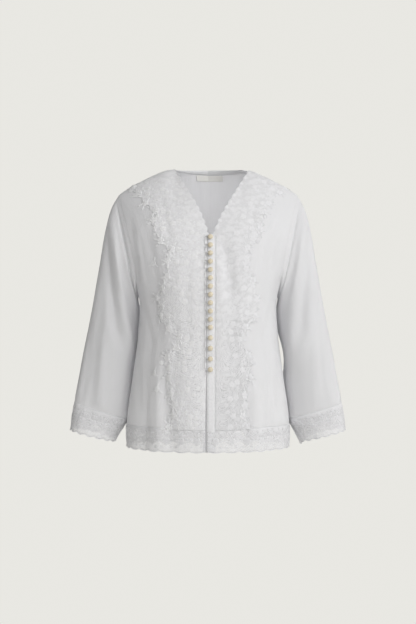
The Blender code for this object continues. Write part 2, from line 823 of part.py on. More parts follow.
for old in list(bpy.data.objects):
    bpy.data.objects.remove(old)

blouse = bpy.data.collections.new("lace_blouse")
bpy.context.scene.collection.children.link(blouse)
hanging_point = bpy.data.objects.new("hanging_point", None)
blouse.objects.link(hanging_point)

cotton = material("cotton_voile", COTTON_COLOUR, 0.85)
lace = material("cotton_lace", LACE_COLOUR, 0.80)
pearl = material("covered_button", BUTTON_COLOUR, 0.40)
label_cloth = material("woven_label", LABEL_COLOUR, 0.70)

right_panel = front_panel(WEARERS_RIGHT, "front_right")
left_panel = front_panel(WEARERS_LEFT, "front_left")
back_panel = back_rows()
loft("back", back_panel, CLOTH_WALL, cotton)
sleeve(WEARERS_RIGHT, "sleeve_right")
sleeve(WEARERS_LEFT, "sleeve_left")

flower_lace(WEARERS_RIGHT, "flower_lace_right", right_panel)
flower_lace(WEARERS_LEFT, "flower_lace_left", left_panel)
neck_edging(WEARERS_RIGHT, "neck_edging_right", right_panel)
neck_edging(WEARERS_LEFT, "neck_edging_left", left_panel)
neck_binding(back_panel)
hem_lace("hem_lace_right", FRONT, right_opening_edge, -0.01, None, -1, FRONT_HEM_SCALLOPS)
hem_lace("hem_lace_left", FRONT, left_opening_edge, 0.01, None, 1, FRONT_HEM_SCALLOPS)
hem_lace("hem_lace_back", BACK, None, -1, None, 1, BACK_HEM_SCALLOPS)
cuff_lace(WEARERS_RIGHT, "cuff_lace_right")
cuff_lace(WEARERS_LEFT, "cuff_lace_left")

button_stand(left_panel)
add_buttons()
loop_braid()
neck_label(back_panel)
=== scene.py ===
"""Looks of the lace blouse: voile panels, flower lace, scalloped bands, ball buttons and loops.

Metres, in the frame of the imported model: +Z up, the front faces -Y, the wearer's left is at +X.
A drop is a depth below the shoulders. Most tables repeat the part's own source. The thinner walls, the
sleeves' folds and fullness and the smaller creases are this script's own.
"""

import math

import bpy
import numpy as np
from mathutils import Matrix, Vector


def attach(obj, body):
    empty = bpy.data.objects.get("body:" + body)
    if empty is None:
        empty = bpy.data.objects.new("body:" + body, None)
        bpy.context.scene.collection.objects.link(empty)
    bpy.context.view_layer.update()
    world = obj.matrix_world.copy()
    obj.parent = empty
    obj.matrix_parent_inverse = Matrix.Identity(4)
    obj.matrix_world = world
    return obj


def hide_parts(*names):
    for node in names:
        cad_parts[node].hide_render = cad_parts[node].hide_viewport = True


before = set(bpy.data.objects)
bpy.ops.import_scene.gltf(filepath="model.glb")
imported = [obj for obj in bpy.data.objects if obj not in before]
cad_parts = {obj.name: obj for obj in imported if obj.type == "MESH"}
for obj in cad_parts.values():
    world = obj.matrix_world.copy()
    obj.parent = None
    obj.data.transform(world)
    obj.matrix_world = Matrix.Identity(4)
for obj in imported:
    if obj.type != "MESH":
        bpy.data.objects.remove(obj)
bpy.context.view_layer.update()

FRONT = -1
BACK = 1
WEARERS_RIGHT = -1
WEARERS_LEFT = 1
SIDES = ((WEARERS_RIGHT, "right"), (WEARERS_LEFT, "left"))

# Walls of the visible cloth, and how far each layer stands off the one below
VOILE_WALL = 0.0006
LACE_WALL = 0.0005
STAND_WALL = 0.0020
LAYER_STEP = 0.0011
SEAM_GAP = 0.0003
SHOULDER_GAP = 0.0009

# The body of the blouse: a rounded section at each drop
HALF_WIDTH, FRONT_DEPTH, BACK_DEPTH = range(1, 4)
TORSO = (
    (-0.040, 0.2050, 0.050, 0.078),
    (0.000, 0.2050, 0.056, 0.085),
    (0.060, 0.2050, 0.072, 0.090),
    (0.114, 0.2000, 0.092, 0.094),
    (0.163, 0.1900, 0.108, 0.097),
    (0.211, 0.1750, 0.119, 0.099),
    (0.270, 0.1520, 0.124, 0.100),
    (0.357, 0.1520, 0.121, 0.102),
    (0.447, 0.1635, 0.122, 0.105),
    (0.551, 0.1765, 0.125, 0.108),
    (0.610, 0.1750, 0.126, 0.109),
)
SECTION_POWER = 0.78
SHOULDER_ROUND = 0.130

# Height of the shoulder line over each distance from the middle
HEIGHT = 1
SHOULDER_LINE = (
    (0.000, 0.0370),
    (0.032, 0.0245),
    (0.056, 0.0088),
    (0.072, 0.0008),
    (0.080, -0.0002),
    (0.090, -0.0016),
    (0.119, -0.0130),
    (0.158, -0.0326),
    (0.187, -0.0493),
    (0.195, -0.0555),
    (0.210, -0.0680),
)
ARMHOLE_REACH = 1
ARMHOLE = (
    (0.0555, 0.1950),
    (0.0900, 0.1860),
    (0.1300, 0.1760),
    (0.1750, 0.1660),
    (0.2200, 0.1590),
    (0.2550, 0.1545),
    (0.2700, 0.1520),
)
UNDERARM_DROP = 0.270
SHOULDER_TIP_DROP = 0.0555

# Neck edges, the centre front line and the slit
V_RIGHT, V_LEFT = 1, 2
V_EDGE = (
    (0.000, -0.0723, 0.0894),
    (0.040, -0.0480, 0.0650),
    (0.080, -0.0245, 0.0408),
    (0.120, -0.0065, 0.0200),
    (0.145, 0.0015, 0.0104),
)
EDGING_WIDTH = 0.010
CENTRE_X = 1
CENTRE_FRONT = ((0.150, -0.0010), (0.250, -0.0030), (0.450, -0.0035), (0.605, -0.0045))
SLIT_CLOSED = 0.0005
SLIT_OPEN = 0.0020
SLIT_TOP_DROP = 0.420
STAND_REACH = 0.0155
STAND_TOP_DROP = 0.1478
BACK_NECK_RISE = 0.0062
BACK_NECK_CLOTH_RISE = -0.0015

# Rows of the panels: their drops at the middle, and where the last ends at the side
ROW_DROPS = (
    *(0.000, 0.006, 0.018, 0.036, 0.060, 0.088, 0.117, 0.145, 0.150, 0.172, 0.200),
    *(0.228, 0.257, 0.287, 0.318, 0.350, 0.383, 0.417, 0.452, 0.487, 0.522, 0.557),
)
SIDE_END_DROP = 0.555
LAST_ROW = len(ROW_DROPS) - 1
ARMHOLE_ROWS = 10
V_ROWS = 8
RIDGE_ROWS = 6
SHOULDER_COLUMNS = 5
NECK_COLUMNS = 8
HEM_DROP_MIDDLE = 0.6035
HEM_DROP_SIDE = 0.6005

# Largest folds of the body, the same as in the source: they start at the top point and go on
FACE, TOP_X, TOP_DROP, END_X, END_DROP, SPREAD, DEPTH = range(7)
BODY_FOLDS = (
    (FRONT, -0.120, 0.285, -0.137, 0.600, 0.013, -0.0050),
    (FRONT, -0.098, 0.330, -0.104, 0.600, 0.014, 0.0030),
    (FRONT, 0.118, 0.300, 0.134, 0.600, 0.013, -0.0050),
    (FRONT, 0.092, 0.345, 0.100, 0.600, 0.014, 0.0032),
    (FRONT, -0.135, 0.110, -0.112, 0.300, 0.014, -0.0035),
    (FRONT, 0.138, 0.115, 0.114, 0.290, 0.014, -0.0035),
    (BACK, -0.122, 0.230, -0.136, 0.600, 0.014, -0.0060),
    (BACK, -0.074, 0.200, -0.084, 0.600, 0.016, 0.0050),
    (BACK, -0.030, 0.120, -0.038, 0.600, 0.014, -0.0045),
    (BACK, 0.034, 0.140, 0.040, 0.600, 0.014, -0.0045),
    (BACK, 0.078, 0.190, 0.086, 0.600, 0.016, 0.0050),
    (BACK, 0.124, 0.240, 0.138, 0.600, 0.014, -0.0060),
)

# Smaller creases of the body: each fades out at both its ends
BODY_CREASES = (
    (FRONT, -0.150, 0.130, -0.128, 0.260, 0.0060, -0.0022),
    (FRONT, -0.170, 0.085, -0.148, 0.268, 0.0090, -0.0040),
    (FRONT, 0.030, 0.140, 0.052, 0.320, 0.0150, -0.0022),
    (BACK, -0.170, 0.085, -0.148, 0.268, 0.0090, -0.0040),
    (BACK, 0.170, 0.085, 0.148, 0.268, 0.0090, -0.0040),
    (FRONT, -0.122, 0.150, -0.100, 0.290, 0.0090, -0.0018),
    (FRONT, -0.142, 0.270, -0.118, 0.400, 0.0060, -0.0020),
    (FRONT, -0.150, 0.390, -0.146, 0.545, 0.0060, -0.0024),
    (FRONT, -0.128, 0.400, -0.122, 0.560, 0.0055, 0.0018),
    (FRONT, -0.088, 0.360, -0.094, 0.560, 0.0070, -0.0016),
    (FRONT, -0.064, 0.300, -0.070, 0.520, 0.0090, -0.0013),
    (FRONT, -0.045, 0.180, -0.040, 0.420, 0.0100, -0.0010),
    (FRONT, -0.105, 0.040, -0.080, 0.160, 0.0090, -0.0014),
    (FRONT, 0.030, 0.140, 0.058, 0.300, 0.0130, -0.0040),
    (FRONT, 0.056, 0.270, 0.046, 0.430, 0.0110, -0.0020),
    (FRONT, 0.152, 0.130, 0.130, 0.255, 0.0060, -0.0022),
    (FRONT, 0.124, 0.145, 0.104, 0.280, 0.0070, -0.0016),
    (FRONT, 0.143, 0.260, 0.116, 0.385, 0.0060, -0.0018),
    (FRONT, 0.150, 0.400, 0.148, 0.550, 0.0060, -0.0024),
    (FRONT, 0.122, 0.410, 0.118, 0.560, 0.0055, 0.0016),
    (FRONT, 0.080, 0.350, 0.086, 0.560, 0.0070, -0.0016),
    (FRONT, 0.058, 0.320, 0.062, 0.540, 0.0090, -0.0014),
    (FRONT, 0.042, 0.200, 0.038, 0.430, 0.0100, -0.0010),
    (FRONT, 0.110, 0.045, 0.085, 0.155, 0.0090, -0.0014),
    (BACK, -0.100, 0.070, -0.060, 0.190, 0.0100, -0.0020),
    (BACK, 0.104, 0.072, 0.066, 0.190, 0.0100, -0.0020),
    (BACK, 0.003, 0.045, 0.002, 0.560, 0.0026, -0.0008),
    (BACK, -0.145, 0.150, -0.118, 0.300, 0.0070, -0.0022),
    (BACK, 0.146, 0.150, 0.120, 0.290, 0.0070, -0.0022),
    (BACK, -0.052, 0.270, -0.060, 0.560, 0.0080, -0.0018),
    (BACK, 0.058, 0.290, 0.062, 0.560, 0.0080, -0.0018),
    (BACK, -0.104, 0.330, -0.112, 0.560, 0.0075, -0.0020),
    (BACK, 0.106, 0.300, 0.114, 0.560, 0.0075, -0.0020),
    (BACK, -0.012, 0.330, -0.016, 0.560, 0.0080, 0.0014),
    (BACK, 0.014, 0.300, 0.018, 0.560, 0.0080, 0.0014),
    (BACK, -0.150, 0.380, -0.152, 0.555, 0.0060, -0.0020),
    (BACK, 0.150, 0.380, 0.152, 0.555, 0.0060, -0.0020),
)

# Sleeve rings, from the armhole to the cuff edge. After the ring's number: reach and drop of the outer
# edge, drop of the inner edge, half depth, how far back the inner edge lies, and how far out
SLEEVE_MEASURES = range(1, 7)
SLEEVE_RINGS = (
    (0, 0.1950, 0.0555, 0.2700, 0.0580, 0.000, 0.000),
    (1, 0.2085, 0.0790, 0.2830, 0.0585, 0.008, 0.001),
    (2, 0.2190, 0.1110, 0.2950, 0.0590, 0.016, 0.001),
    (3, 0.2270, 0.1500, 0.3090, 0.0590, 0.023, 0.000),
    (4, 0.2345, 0.1950, 0.3260, 0.0580, 0.028, 0.000),
    (5, 0.2430, 0.2430, 0.3480, 0.0570, 0.030, 0.000),
    (6, 0.2520, 0.2950, 0.3760, 0.0560, 0.030, 0.000),
    (7, 0.2620, 0.3480, 0.4100, 0.0550, 0.030, 0.000),
    (8, 0.2725, 0.4000, 0.4460, 0.0540, 0.030, 0.000),
    (9, 0.2815, 0.4500, 0.4840, 0.0530, 0.030, 0.000),
    (10, 0.2885, 0.4870, 0.5200, 0.0520, 0.030, 0.000),
    (11, 0.2920, 0.5110, 0.5465, 0.0510, 0.028, 0.001),
    (12, 0.2965, 0.5400, 0.5676, 0.0500, 0.020, 0.012),
    (13, 0.2995, 0.5665, 0.5925, 0.0490, 0.012, 0.026),
)
CUFF_RING = 11
LAST_RING = 13
SLEEVE_CLEARANCE = 0.0028
SLEEVE_POWER = 0.72
SLEEVE_FOLD_SHARE = {WEARERS_RIGHT: 1.0, WEARERS_LEFT: 0.65}
ARMHOLE_FADE = 2.5
DAYLIGHT_DROP = 0.400
DAYLIGHT_HALF_LENGTH = 0.070
DAYLIGHT_GAP = 0.006

# Folds of the sleeves: turn in degrees from the outer edge round the front, and ring
TOP_TURN, TOP_RING, END_TURN, END_RING, TURN_SPREAD, FOLD_DEPTH = range(6)
SLEEVE_FOLDS = (
    (14, 1.5, 124, 7.5, 18, -0.0085),
    (50, 1.0, 152, 7.5, 17, 0.0050),
    (40, 2.5, 60, 12.8, 26, -0.0090),
    (112, 4.0, 136, 12.8, 24, 0.0080),
    (330, 1.5, 218, 8.0, 18, -0.0085),
    (345, 5.0, 300, 11.5, 17, -0.0048),
    (255, 8.0, 268, 12.5, 18, 0.0035),
    # Smaller creases
    (35, 0.3, 168, 1.7, 24, -0.0055),
    (325, 0.3, 192, 1.7, 24, -0.0055),
    (58, 1.2, 118, 4.6, 11, 0.0022),
    (20, 6.0, 44, 10.5, 11, -0.0018),
    (70, 6.5, 96, 11.0, 11, 0.0022),
    (118, 6.0, 126, 12.5, 12, -0.0026),
    (48, 8.5, 56, 12.9, 11, 0.0020),
    (148, 7.5, 154, 12.5, 12, 0.0022),
    (300, 1.2, 242, 4.6, 11, 0.0022),
    (325, 6.0, 312, 11.0, 12, -0.0020),
    (284, 6.5, 290, 12.0, 12, -0.0022),
    (226, 6.5, 232, 12.4, 12, -0.0026),
)
CUFF_DIP = 0.010
CUFF_DIP_TURN = 205
CUFF_DIP_POWER = 8

# Scallops of the lace edges
NECK_SCALLOP_PITCH = 0.016
NECK_SCALLOP_DEPTH = 0.0035
HEM_SCALLOP_DEPTH = 0.0028
FRONT_HEM_SCALLOPS = 8
BACK_HEM_SCALLOPS = 16
CUFF_SCALLOPS = 15
CUFF_SCALLOP_RINGS = 0.13
CUFF_LAP_RINGS = 0.20

# Outer edge of the flower lace laid on the fronts
LACE_REACH = 1
LACE_EDGE = (
    (0.000, 0.1740),
    (0.047, 0.1660),
    (0.080, 0.1360),
    (0.111, 0.1180),
    (0.134, 0.1230),
    (0.163, 0.1010),
    (0.222, 0.0925),
    (0.262, 0.1060),
    (0.291, 0.1140),
    (0.337, 0.0960),
    (0.365, 0.0720),
    (0.398, 0.0950),
    (0.463, 0.0900),
    (0.505, 0.0840),
    (0.557, 0.0920),
)
# Small waves of the net's outer edge: pitch, depth and start
EDGE_WAVES = ((0.0230, 0.0024, 0.3), (0.0127, 0.0020, 1.9), (0.0071, 0.0014, 4.1), (0.0410, 0.0022, 2.2))
NET_INSET = 0.0050
# Small sprigs that stand apart from the lace's edge: distance from the middle and drop
DETACHED_SPRIGS = ((0.1560, 0.0580), (0.1130, 0.4380), (0.1060, 0.4720), (0.1200, 0.2080))
HEM_LAP = 0.10
BAND_STEP = 0.0009

# Buttons and their loops
FIRST_BUTTON_DROP = 0.1545
BUTTON_X = 0.0049
CLOSE_BUTTONS = 12
BUTTON_COUNT = 16
CLOSE_PITCH = 0.017
WIDE_PITCH = 0.022
BUTTON_RADIUS = 0.0054
SHANK_RADIUS = 0.0019
SHANK_HEIGHT = 0.0024
BUTTON_HEIGHT = 0.0088
LOOP_RADIUS = 0.0034
CORD_RADIUS = 0.0008
LOOP_EDGE_X = -0.0062
BUTTON_TURNS = 28

# The strip under the buttons: the height of its face, and the part that runs under the other front
STAND_FACE = 0.0020
STAND_RISE = 0.0008
STAND_STITCH_INSET = 0.0016
UNDERLAP_REACH = -0.010
UNDERLAP_DEPTH = -0.0032

# Columns and rows of the bare neck label, on the back panel's own
LABEL_COLUMNS = (7.45, 10.13)
LABEL_ROWS = (0.10, 1.60)

# How finely the cloth is laid out
PANEL_ROWS = 170
NET_COLUMNS = 46

# Stitches, cords and how deep raised pads sit in the net
STITCH_RADIUS = 0.00028
EDGE_CORD_RADIUS = 0.0006
EDGE_CORD_RISE = 0.0004
SEAM_RADIUS = 0.0007
PAD_SINK = 0.0002
FIRST_RISE = 0.35
HEM_TOP_LEVEL = -0.14
CUFF_TOP_LEVEL = -0.02

# Colours, pitches and depths of the cloth, lace and thread
COTTON = (0.893, 0.893, 0.907)
LACE_WHITE = (0.89, 0.89, 0.912)
CREAM = (0.64, 0.575, 0.45)
LABEL_CREAM = (0.97, 0.955, 0.92)
# Painted shade: the wearer's left lace is a darker copy of the same white lace, toning down the stronger
# light on that side
FRONT_LACE_PAINTED_SHADE = {WEARERS_RIGHT: 1.0, WEARERS_LEFT: 0.91}
LACE_RELIEF = {WEARERS_RIGHT: 1.6, WEARERS_LEFT: 0.9}
NET_PITCH = 0.0024
OPEN_NET_PITCH = 0.0030
WARP_PITCH = 0.0008
SATIN_STITCH_PITCH = 0.0007
BUTTON_WARP_PITCH = 0.0005
LABEL_WARP_PITCH = 0.0006
WEAVE_DEPTH = 0.00012

# Camera, light and backdrop
CAMERA_DISTANCE = 2.5
CAMERA_DROP = 0.310
LENS_MM = 65.9
SENSOR_MM = 36
FLOOR_DROP = 1.35
FLOOR_RADIUS = 2.2
PALE = (0.812, 0.804, 0.765)
WORLD_LIGHT = 0.48
WORLD_SLOPE = 0.20


def smooth_value(table, column, at):
    """A table's column at any place between its rows, as a smooth curve through them."""
    keys = np.array([row[0] for row in table], float)
    values = np.array([row[column] for row in table])
    slopes = np.gradient(values, keys)
    at = np.clip(at, keys[0], keys[-1])
    i = np.clip(np.searchsorted(keys, at) - 1, 0, len(keys) - 2)
    step = keys[i + 1] - keys[i]
    t = (at - keys[i]) / step
    start = values[i] * (1 + 2 * t) * (1 - t) ** 2 + slopes[i] * step * t * (1 - t) ** 2
    end = values[i + 1] * t * t * (3 - 2 * t) - slopes[i + 1] * step * t * t * (1 - t)
    return start + end


def mix(a, b, t):
    return a + (b - a) * t


def ease(t):
    t = np.clip(t, 0.0, 1.0)
    return t * t * (3 - 2 * t)


def unit(vectors):
    return vectors / np.maximum(np.linalg.norm(vectors, axis=-1, keepdims=True), 1e-12)


def points(x, y, z):
    return np.stack(np.broadcast_arrays(x, y, z), axis=-1).astype(float)


def half_width(z):
    return smooth_value(TORSO, HALF_WIDTH, -z)


def shoulder_height(x):
    return smooth_value(SHOULDER_LINE, HEIGHT, np.abs(x))


def turn_of(x, z):
    return np.arcsin(np.clip(x / half_width(z), -1.0, 1.0))


def body_fold(face, x, z):
    """How far the body's folds and creases move a point out (or in, below nought)."""
    out = np.zeros(np.broadcast(x, z).shape)
    for rows, fades in ((BODY_FOLDS, False), (BODY_CREASES, True)):
        for row in rows:
            if row[FACE] != face:
                continue
            along = (-z - row[TOP_DROP]) / (row[END_DROP] - row[TOP_DROP])
            line = mix(row[TOP_X], row[END_X], along)
            window = ease(along / 0.35)
            if fades:
                window = window * ease((1 - along) / 0.25)
            out += row[DEPTH] * window * np.exp(-(((x - line) / row[SPREAD]) ** 2))
    return out


def body_point(face, turn, z, out=0.0):
    """A point of the body's surface, moved out from it. Turn 0 is the middle, 90 degrees the side."""
    x = half_width(z) * np.sin(turn)
    fall = np.clip((shoulder_height(x) - z) / SHOULDER_ROUND, 0.0, 1.0)
    crown = np.sqrt(fall * (2 - fall))
    depth = smooth_value(TORSO, FRONT_DEPTH if face == FRONT else BACK_DEPTH, -z)
    level = np.abs(np.cos(turn)) ** SECTION_POWER
    fold = body_fold(face, x, z) + out
    gap = mix(SHOULDER_GAP, SEAM_GAP, crown)
    y = face * (gap / 2 + depth * level * crown + fold * np.cos(turn))
    return points(x + fold * np.sin(turn), y, z)


def body_normal(face, turn, z):
    """The outward normal of the body's surface, from points close by."""
    here = body_point(face, turn, z)
    below = body_point(face, turn, z - 0.0008) - here
    aside = body_point(face, turn + 0.004, z) - body_point(face, turn - 0.004, z)
    return unit(np.cross(below, aside)) * -face


def side_reach(z):
    """Distance of the side seam, or of the armhole above the underarm."""
    return np.where(-z < UNDERARM_DROP, smooth_value(ARMHOLE, ARMHOLE_REACH, -z), half_width(z))


def side_drop(row):
    """Drop of a row's outer end: down the armhole at even turns, then down the side seam."""
    armhole = (1 - np.cos(math.pi * np.minimum(row, ARMHOLE_ROWS) / ARMHOLE_ROWS)) / 2
    part = np.clip((row - ARMHOLE_ROWS) / (LAST_ROW - ARMHOLE_ROWS), 0, 1)
    side = mix(UNDERARM_DROP, SIDE_END_DROP, mix(part, part * part, 0.35))
    return np.where(row <= ARMHOLE_ROWS, mix(SHOULDER_TIP_DROP, UNDERARM_DROP, armhole), side)


def middle_drop(row):
    return np.interp(row, range(len(ROW_DROPS)), ROW_DROPS)


def slit_half(drop):
    return mix(SLIT_CLOSED, SLIT_OPEN, ease((drop - SLIT_TOP_DROP) / (HEM_DROP_MIDDLE - SLIT_TOP_DROP)))


def opening_edge(side, drop):
    """Where a front's edge lies at the opening, below the neck."""
    return smooth_value(CENTRE_FRONT, CENTRE_X, drop) + side * slit_half(drop)


def neck_column(side):
    return V_RIGHT if side == WEARERS_RIGHT else V_LEFT


def centre_edge(side, row):
    """Where a front panel's cloth starts at a row: beside the neck edging, then at the opening."""
    drop = middle_drop(row)
    neck = smooth_value(V_EDGE, neck_column(side), drop) + side * EDGING_WIDTH
    below = STAND_REACH + SEAM_GAP if side == WEARERS_LEFT else opening_edge(side, drop)
    return mix(neck, below, np.clip(row - (V_ROWS - 1), 0, 1))


def ridge_lift(start_x, end_x, part):
    """How far the shoulder line bows over the straight line between two of its points."""
    start_z = shoulder_height(start_x)
    end_z = shoulder_height(end_x)
    z = mix(start_z, end_z, part * part)
    turn = mix(turn_of(start_x, start_z), turn_of(end_x, end_z), part)
    return shoulder_height(half_width(z) * np.sin(turn)) - z


def front_spot(side, row, part):
    """Turn and height on a front panel at a row and a part of the way to its side."""
    start_x = centre_edge(side, row)
    z_end = -side_drop(row)
    first_x = centre_edge(side, 0.0)
    z_start = mix(shoulder_height(first_x), -ROW_DROPS[1], np.clip(row, 0, 1))
    z_start = np.where(row < 1, z_start, -middle_drop(row))
    fade = 1 - ease(row / RIDGE_ROWS)
    tip = side * side_reach(-SHOULDER_TIP_DROP)
    z = mix(z_start, z_end, part * part) + fade * ridge_lift(first_x, tip, part)
    end_x = side * side_reach(z_end)
    return mix(turn_of(start_x, z_start), turn_of(end_x, z_end), part), z


def front_grid(side, rows, parts):
    turn, z = front_spot(side, rows, parts)
    return body_point(FRONT, turn, z)


def neckline_z(x_first, x_last, rise, part):
    ends = mix(shoulder_height(x_first), shoulder_height(x_last), part)
    return ends + rise * np.sin(math.pi * part)


def back_spot(column, row):
    """Turn and height on the back panel; columns run from the wearer's right tip to the left."""
    first = V_EDGE[0][V_RIGHT] - EDGING_WIDTH
    last = V_EDGE[0][V_LEFT] + EDGING_WIDTH
    tip = float(side_reach(-SHOULDER_TIP_DROP))
    neck_end = SHOULDER_COLUMNS + NECK_COLUMNS
    knots = (0, SHOULDER_COLUMNS, neck_end, neck_end + SHOULDER_COLUMNS)
    x_top = np.interp(column, knots, (-tip, first, last, tip))
    in_neck = (column > SHOULDER_COLUMNS) & (column < neck_end)
    part = np.clip((column - SHOULDER_COLUMNS) / NECK_COLUMNS, 0, 1)
    neck = neckline_z(first, last, BACK_NECK_CLOTH_RISE, part)
    z_top = np.where(in_neck, neck, shoulder_height(x_top))
    share = turn_of(x_top, z_top) / turn_of(tip, -SHOULDER_TIP_DROP)
    side_turn = turn_of(side_reach(-side_drop(row)), -side_drop(row))
    level = -mix(middle_drop(row), side_drop(row), share * share)
    first_level = -mix(0.0, SHOULDER_TIP_DROP, share * share)
    fade = 1 - ease(row / RIDGE_ROWS)
    return share * side_turn, level + fade * (z_top - first_level)


def back_grid(columns, rows):
    turn, z = back_spot(columns, rows)
    return body_point(BACK, turn, z)


def daylight(side, drop):
    """1 where the wearer's left sleeve stands off the body, 0 away from there."""
    if side == WEARERS_RIGHT:
        return 0.0
    return 1 - ease(np.abs(drop - DAYLIGHT_DROP) / DAYLIGHT_HALF_LENGTH)


def sleeve_ellipse(side, turn, ring):
    """A point of a sleeve's ring. Turn 0 is its outer edge, 90 degrees its front."""
    row = [smooth_value(SLEEVE_RINGS, column, ring) for column in SLEEVE_MEASURES]
    outer_reach, outer_drop, drop, half_depth, inner_back, inner_out = row
    gap = daylight(side, drop)
    back = inner_back * (1 - 0.8 * gap)
    depth = smooth_value(TORSO, BACK_DEPTH, drop)
    body_turn = np.arccos(np.clip(back / depth, 0.0, 1.0) ** (1 / SECTION_POWER))
    clear = SLEEVE_CLEARANCE * ease(ring) + DAYLIGHT_GAP * gap + inner_out
    inner_x = half_width(-drop) * np.sin(body_turn) + clear
    x = (outer_reach + inner_x) / 2 + (outer_reach - inner_x) / 2 * np.cos(turn)
    round_turn = np.sign(np.sin(turn)) * np.abs(np.sin(turn)) ** SLEEVE_POWER
    y = back * (1 - np.cos(turn)) / 2 - half_depth * round_turn
    z = -((outer_drop + drop) / 2 + (outer_drop - drop) / 2 * np.cos(turn))
    return points(side * x, y, z)


def armhole_point(side, turn):
    """The armhole loop, at the same turns as the sleeve's rings."""
    z = -mix(SHOULDER_TIP_DROP, UNDERARM_DROP, (1 - np.cos(turn)) / 2)
    body_turn = side * turn_of(side_reach(z), z)
    front = body_point(FRONT, body_turn, z)
    back = body_point(BACK, body_turn, z)
    return np.where((np.sin(turn) > 0)[..., None], front, back)


def sleeve_fold(turn, ring):
    """How far a sleeve's folds move a point out from its middle line."""
    out = np.zeros(np.broadcast(turn, ring).shape)
    for row in SLEEVE_FOLDS:
        along = (ring - row[TOP_RING]) / (row[END_RING] - row[TOP_RING])
        line = mix(row[TOP_TURN], row[END_TURN], along)
        away = (np.degrees(turn) - line + 180) % 360 - 180
        window = ease(along / 0.25) * ease((1 - along) / 0.25)
        out += row[FOLD_DEPTH] * window * np.exp(-((away / row[TURN_SPREAD]) ** 2))
    return out


def sleeve_point(side, turn, ring):
    turn, ring = np.broadcast_arrays(np.asarray(turn, float), np.asarray(ring, float))
    point = sleeve_ellipse(side, turn, ring)
    fade = (1 - ease(ring / ARMHOLE_FADE))[..., None]
    point = point + (armhole_point(side, turn) - sleeve_ellipse(side, turn, ring * 0)) * fade
    middle = (sleeve_ellipse(side, turn * 0, ring) + sleeve_ellipse(side, turn * 0 + math.pi, ring)) / 2
    point = point + unit(point - middle) * (SLEEVE_FOLD_SHARE[side] * sleeve_fold(turn, ring))[..., None]
    over = np.maximum(ring - LAST_RING, 0)[..., None]
    last = sleeve_ellipse(side, turn, ring * 0 + LAST_RING)
    point = point + (last - sleeve_ellipse(side, turn, ring * 0 + LAST_RING - 1)) * over
    if side == WEARERS_LEFT:
        near = np.maximum(np.cos(turn - math.radians(CUFF_DIP_TURN)), 0.0) ** CUFF_DIP_POWER
        point[..., 2] -= CUFF_DIP * near * ease((ring - CUFF_RING) / (LAST_RING - CUFF_RING))
    return point


def sleeve_normal(side, turn, ring):
    along = sleeve_point(side, turn, ring + 0.05) - sleeve_point(side, turn, ring - 0.05)
    around = sleeve_point(side, turn + 0.02, ring) - sleeve_point(side, turn - 0.02, ring)
    return unit(np.cross(along, around)) * side


def scallop(phase):
    """Depth of a scalloped edge, 0 between two scallops and 1 at the middle of one."""
    return np.abs(np.sin(math.pi * phase))


def hem_spot(ends, scallops, part, level):
    """Turn and height on a hem band. Ends are sides, or the opening where below 1 in size."""
    first, last = ends
    off_middle = mix(first, last, part) ** 2
    top = mix(ROW_DROPS[-1], SIDE_END_DROP, off_middle) + SEAM_GAP
    hem = mix(HEM_DROP_MIDDLE, HEM_DROP_SIDE, off_middle)
    hem = hem - HEM_SCALLOP_DEPTH * (1 - scallop(part * scallops))
    drop = mix(top, hem, level)
    turns = []
    for end in ends:
        if abs(end) == 1:
            turns.append(end * math.pi / 2)
        else:
            turns.append(turn_of(opening_edge(math.copysign(1, end), drop), -drop))
    return mix(turns[0], turns[1], part), -drop


def line_lengths(grid, axis):
    steps = np.linalg.norm(np.diff(grid, axis=axis), axis=-1)
    pad = [(0, 0), (0, 0)]
    pad[axis] = (1, 0)
    return np.pad(np.cumsum(steps, axis=axis), pad)


def grid_normals(grid):
    return unit(np.cross(np.gradient(grid, axis=0), np.gradient(grid, axis=1)))


def add_piece(name, verts, faces, finish, uvs=None):
    """A mesh piece that rides on the blouse. uvs holds one place on the flat cloth for each corner."""
    mesh = bpy.data.meshes.new(name)
    mesh.from_pydata(np.reshape(verts, (-1, 3)).tolist(), [], [list(map(int, face)) for face in faces])
    if uvs is not None:
        layer = mesh.uv_layers.new(name="cut")
        layer.data.foreach_set("uv", np.asarray(uvs, np.float32).ravel())
    mesh.materials.append(finish)
    mesh.shade_smooth()
    piece = bpy.data.objects.new(name, mesh)
    bpy.context.scene.collection.objects.link(piece)
    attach(piece, "root")
    return piece


def cloth(name, grid, wall, finish, closed=False):
    """A thin shell through a grid of points; the last column of a closed one repeats the first."""
    count, width = grid.shape[:2]
    u = line_lengths(grid, 1)
    v = line_lengths(grid, 0)
    flat = np.stack([u - u.mean(axis=1, keepdims=True), v], axis=-1)
    i, j = np.meshgrid(range(count - 1), range(width - 1), indexing="ij")
    corners = [(i, j), (i + 1, j), (i + 1, j + 1), (i, j + 1)]
    uvs = np.stack([flat[a, b] for a, b in corners], axis=2)
    verts = grid
    if closed:
        verts = grid[:, :-1]
        corners = [(a, b % (width - 1)) for a, b in corners]
    stride = verts.shape[1]
    faces = np.stack([a * stride + b for a, b in corners], axis=2).reshape(-1, 4)
    piece = add_piece(name, verts, faces, finish, uvs)
    solidify = piece.modifiers.new("wall", "SOLIDIFY")
    solidify.thickness = wall
    solidify.offset = 0
    return piece


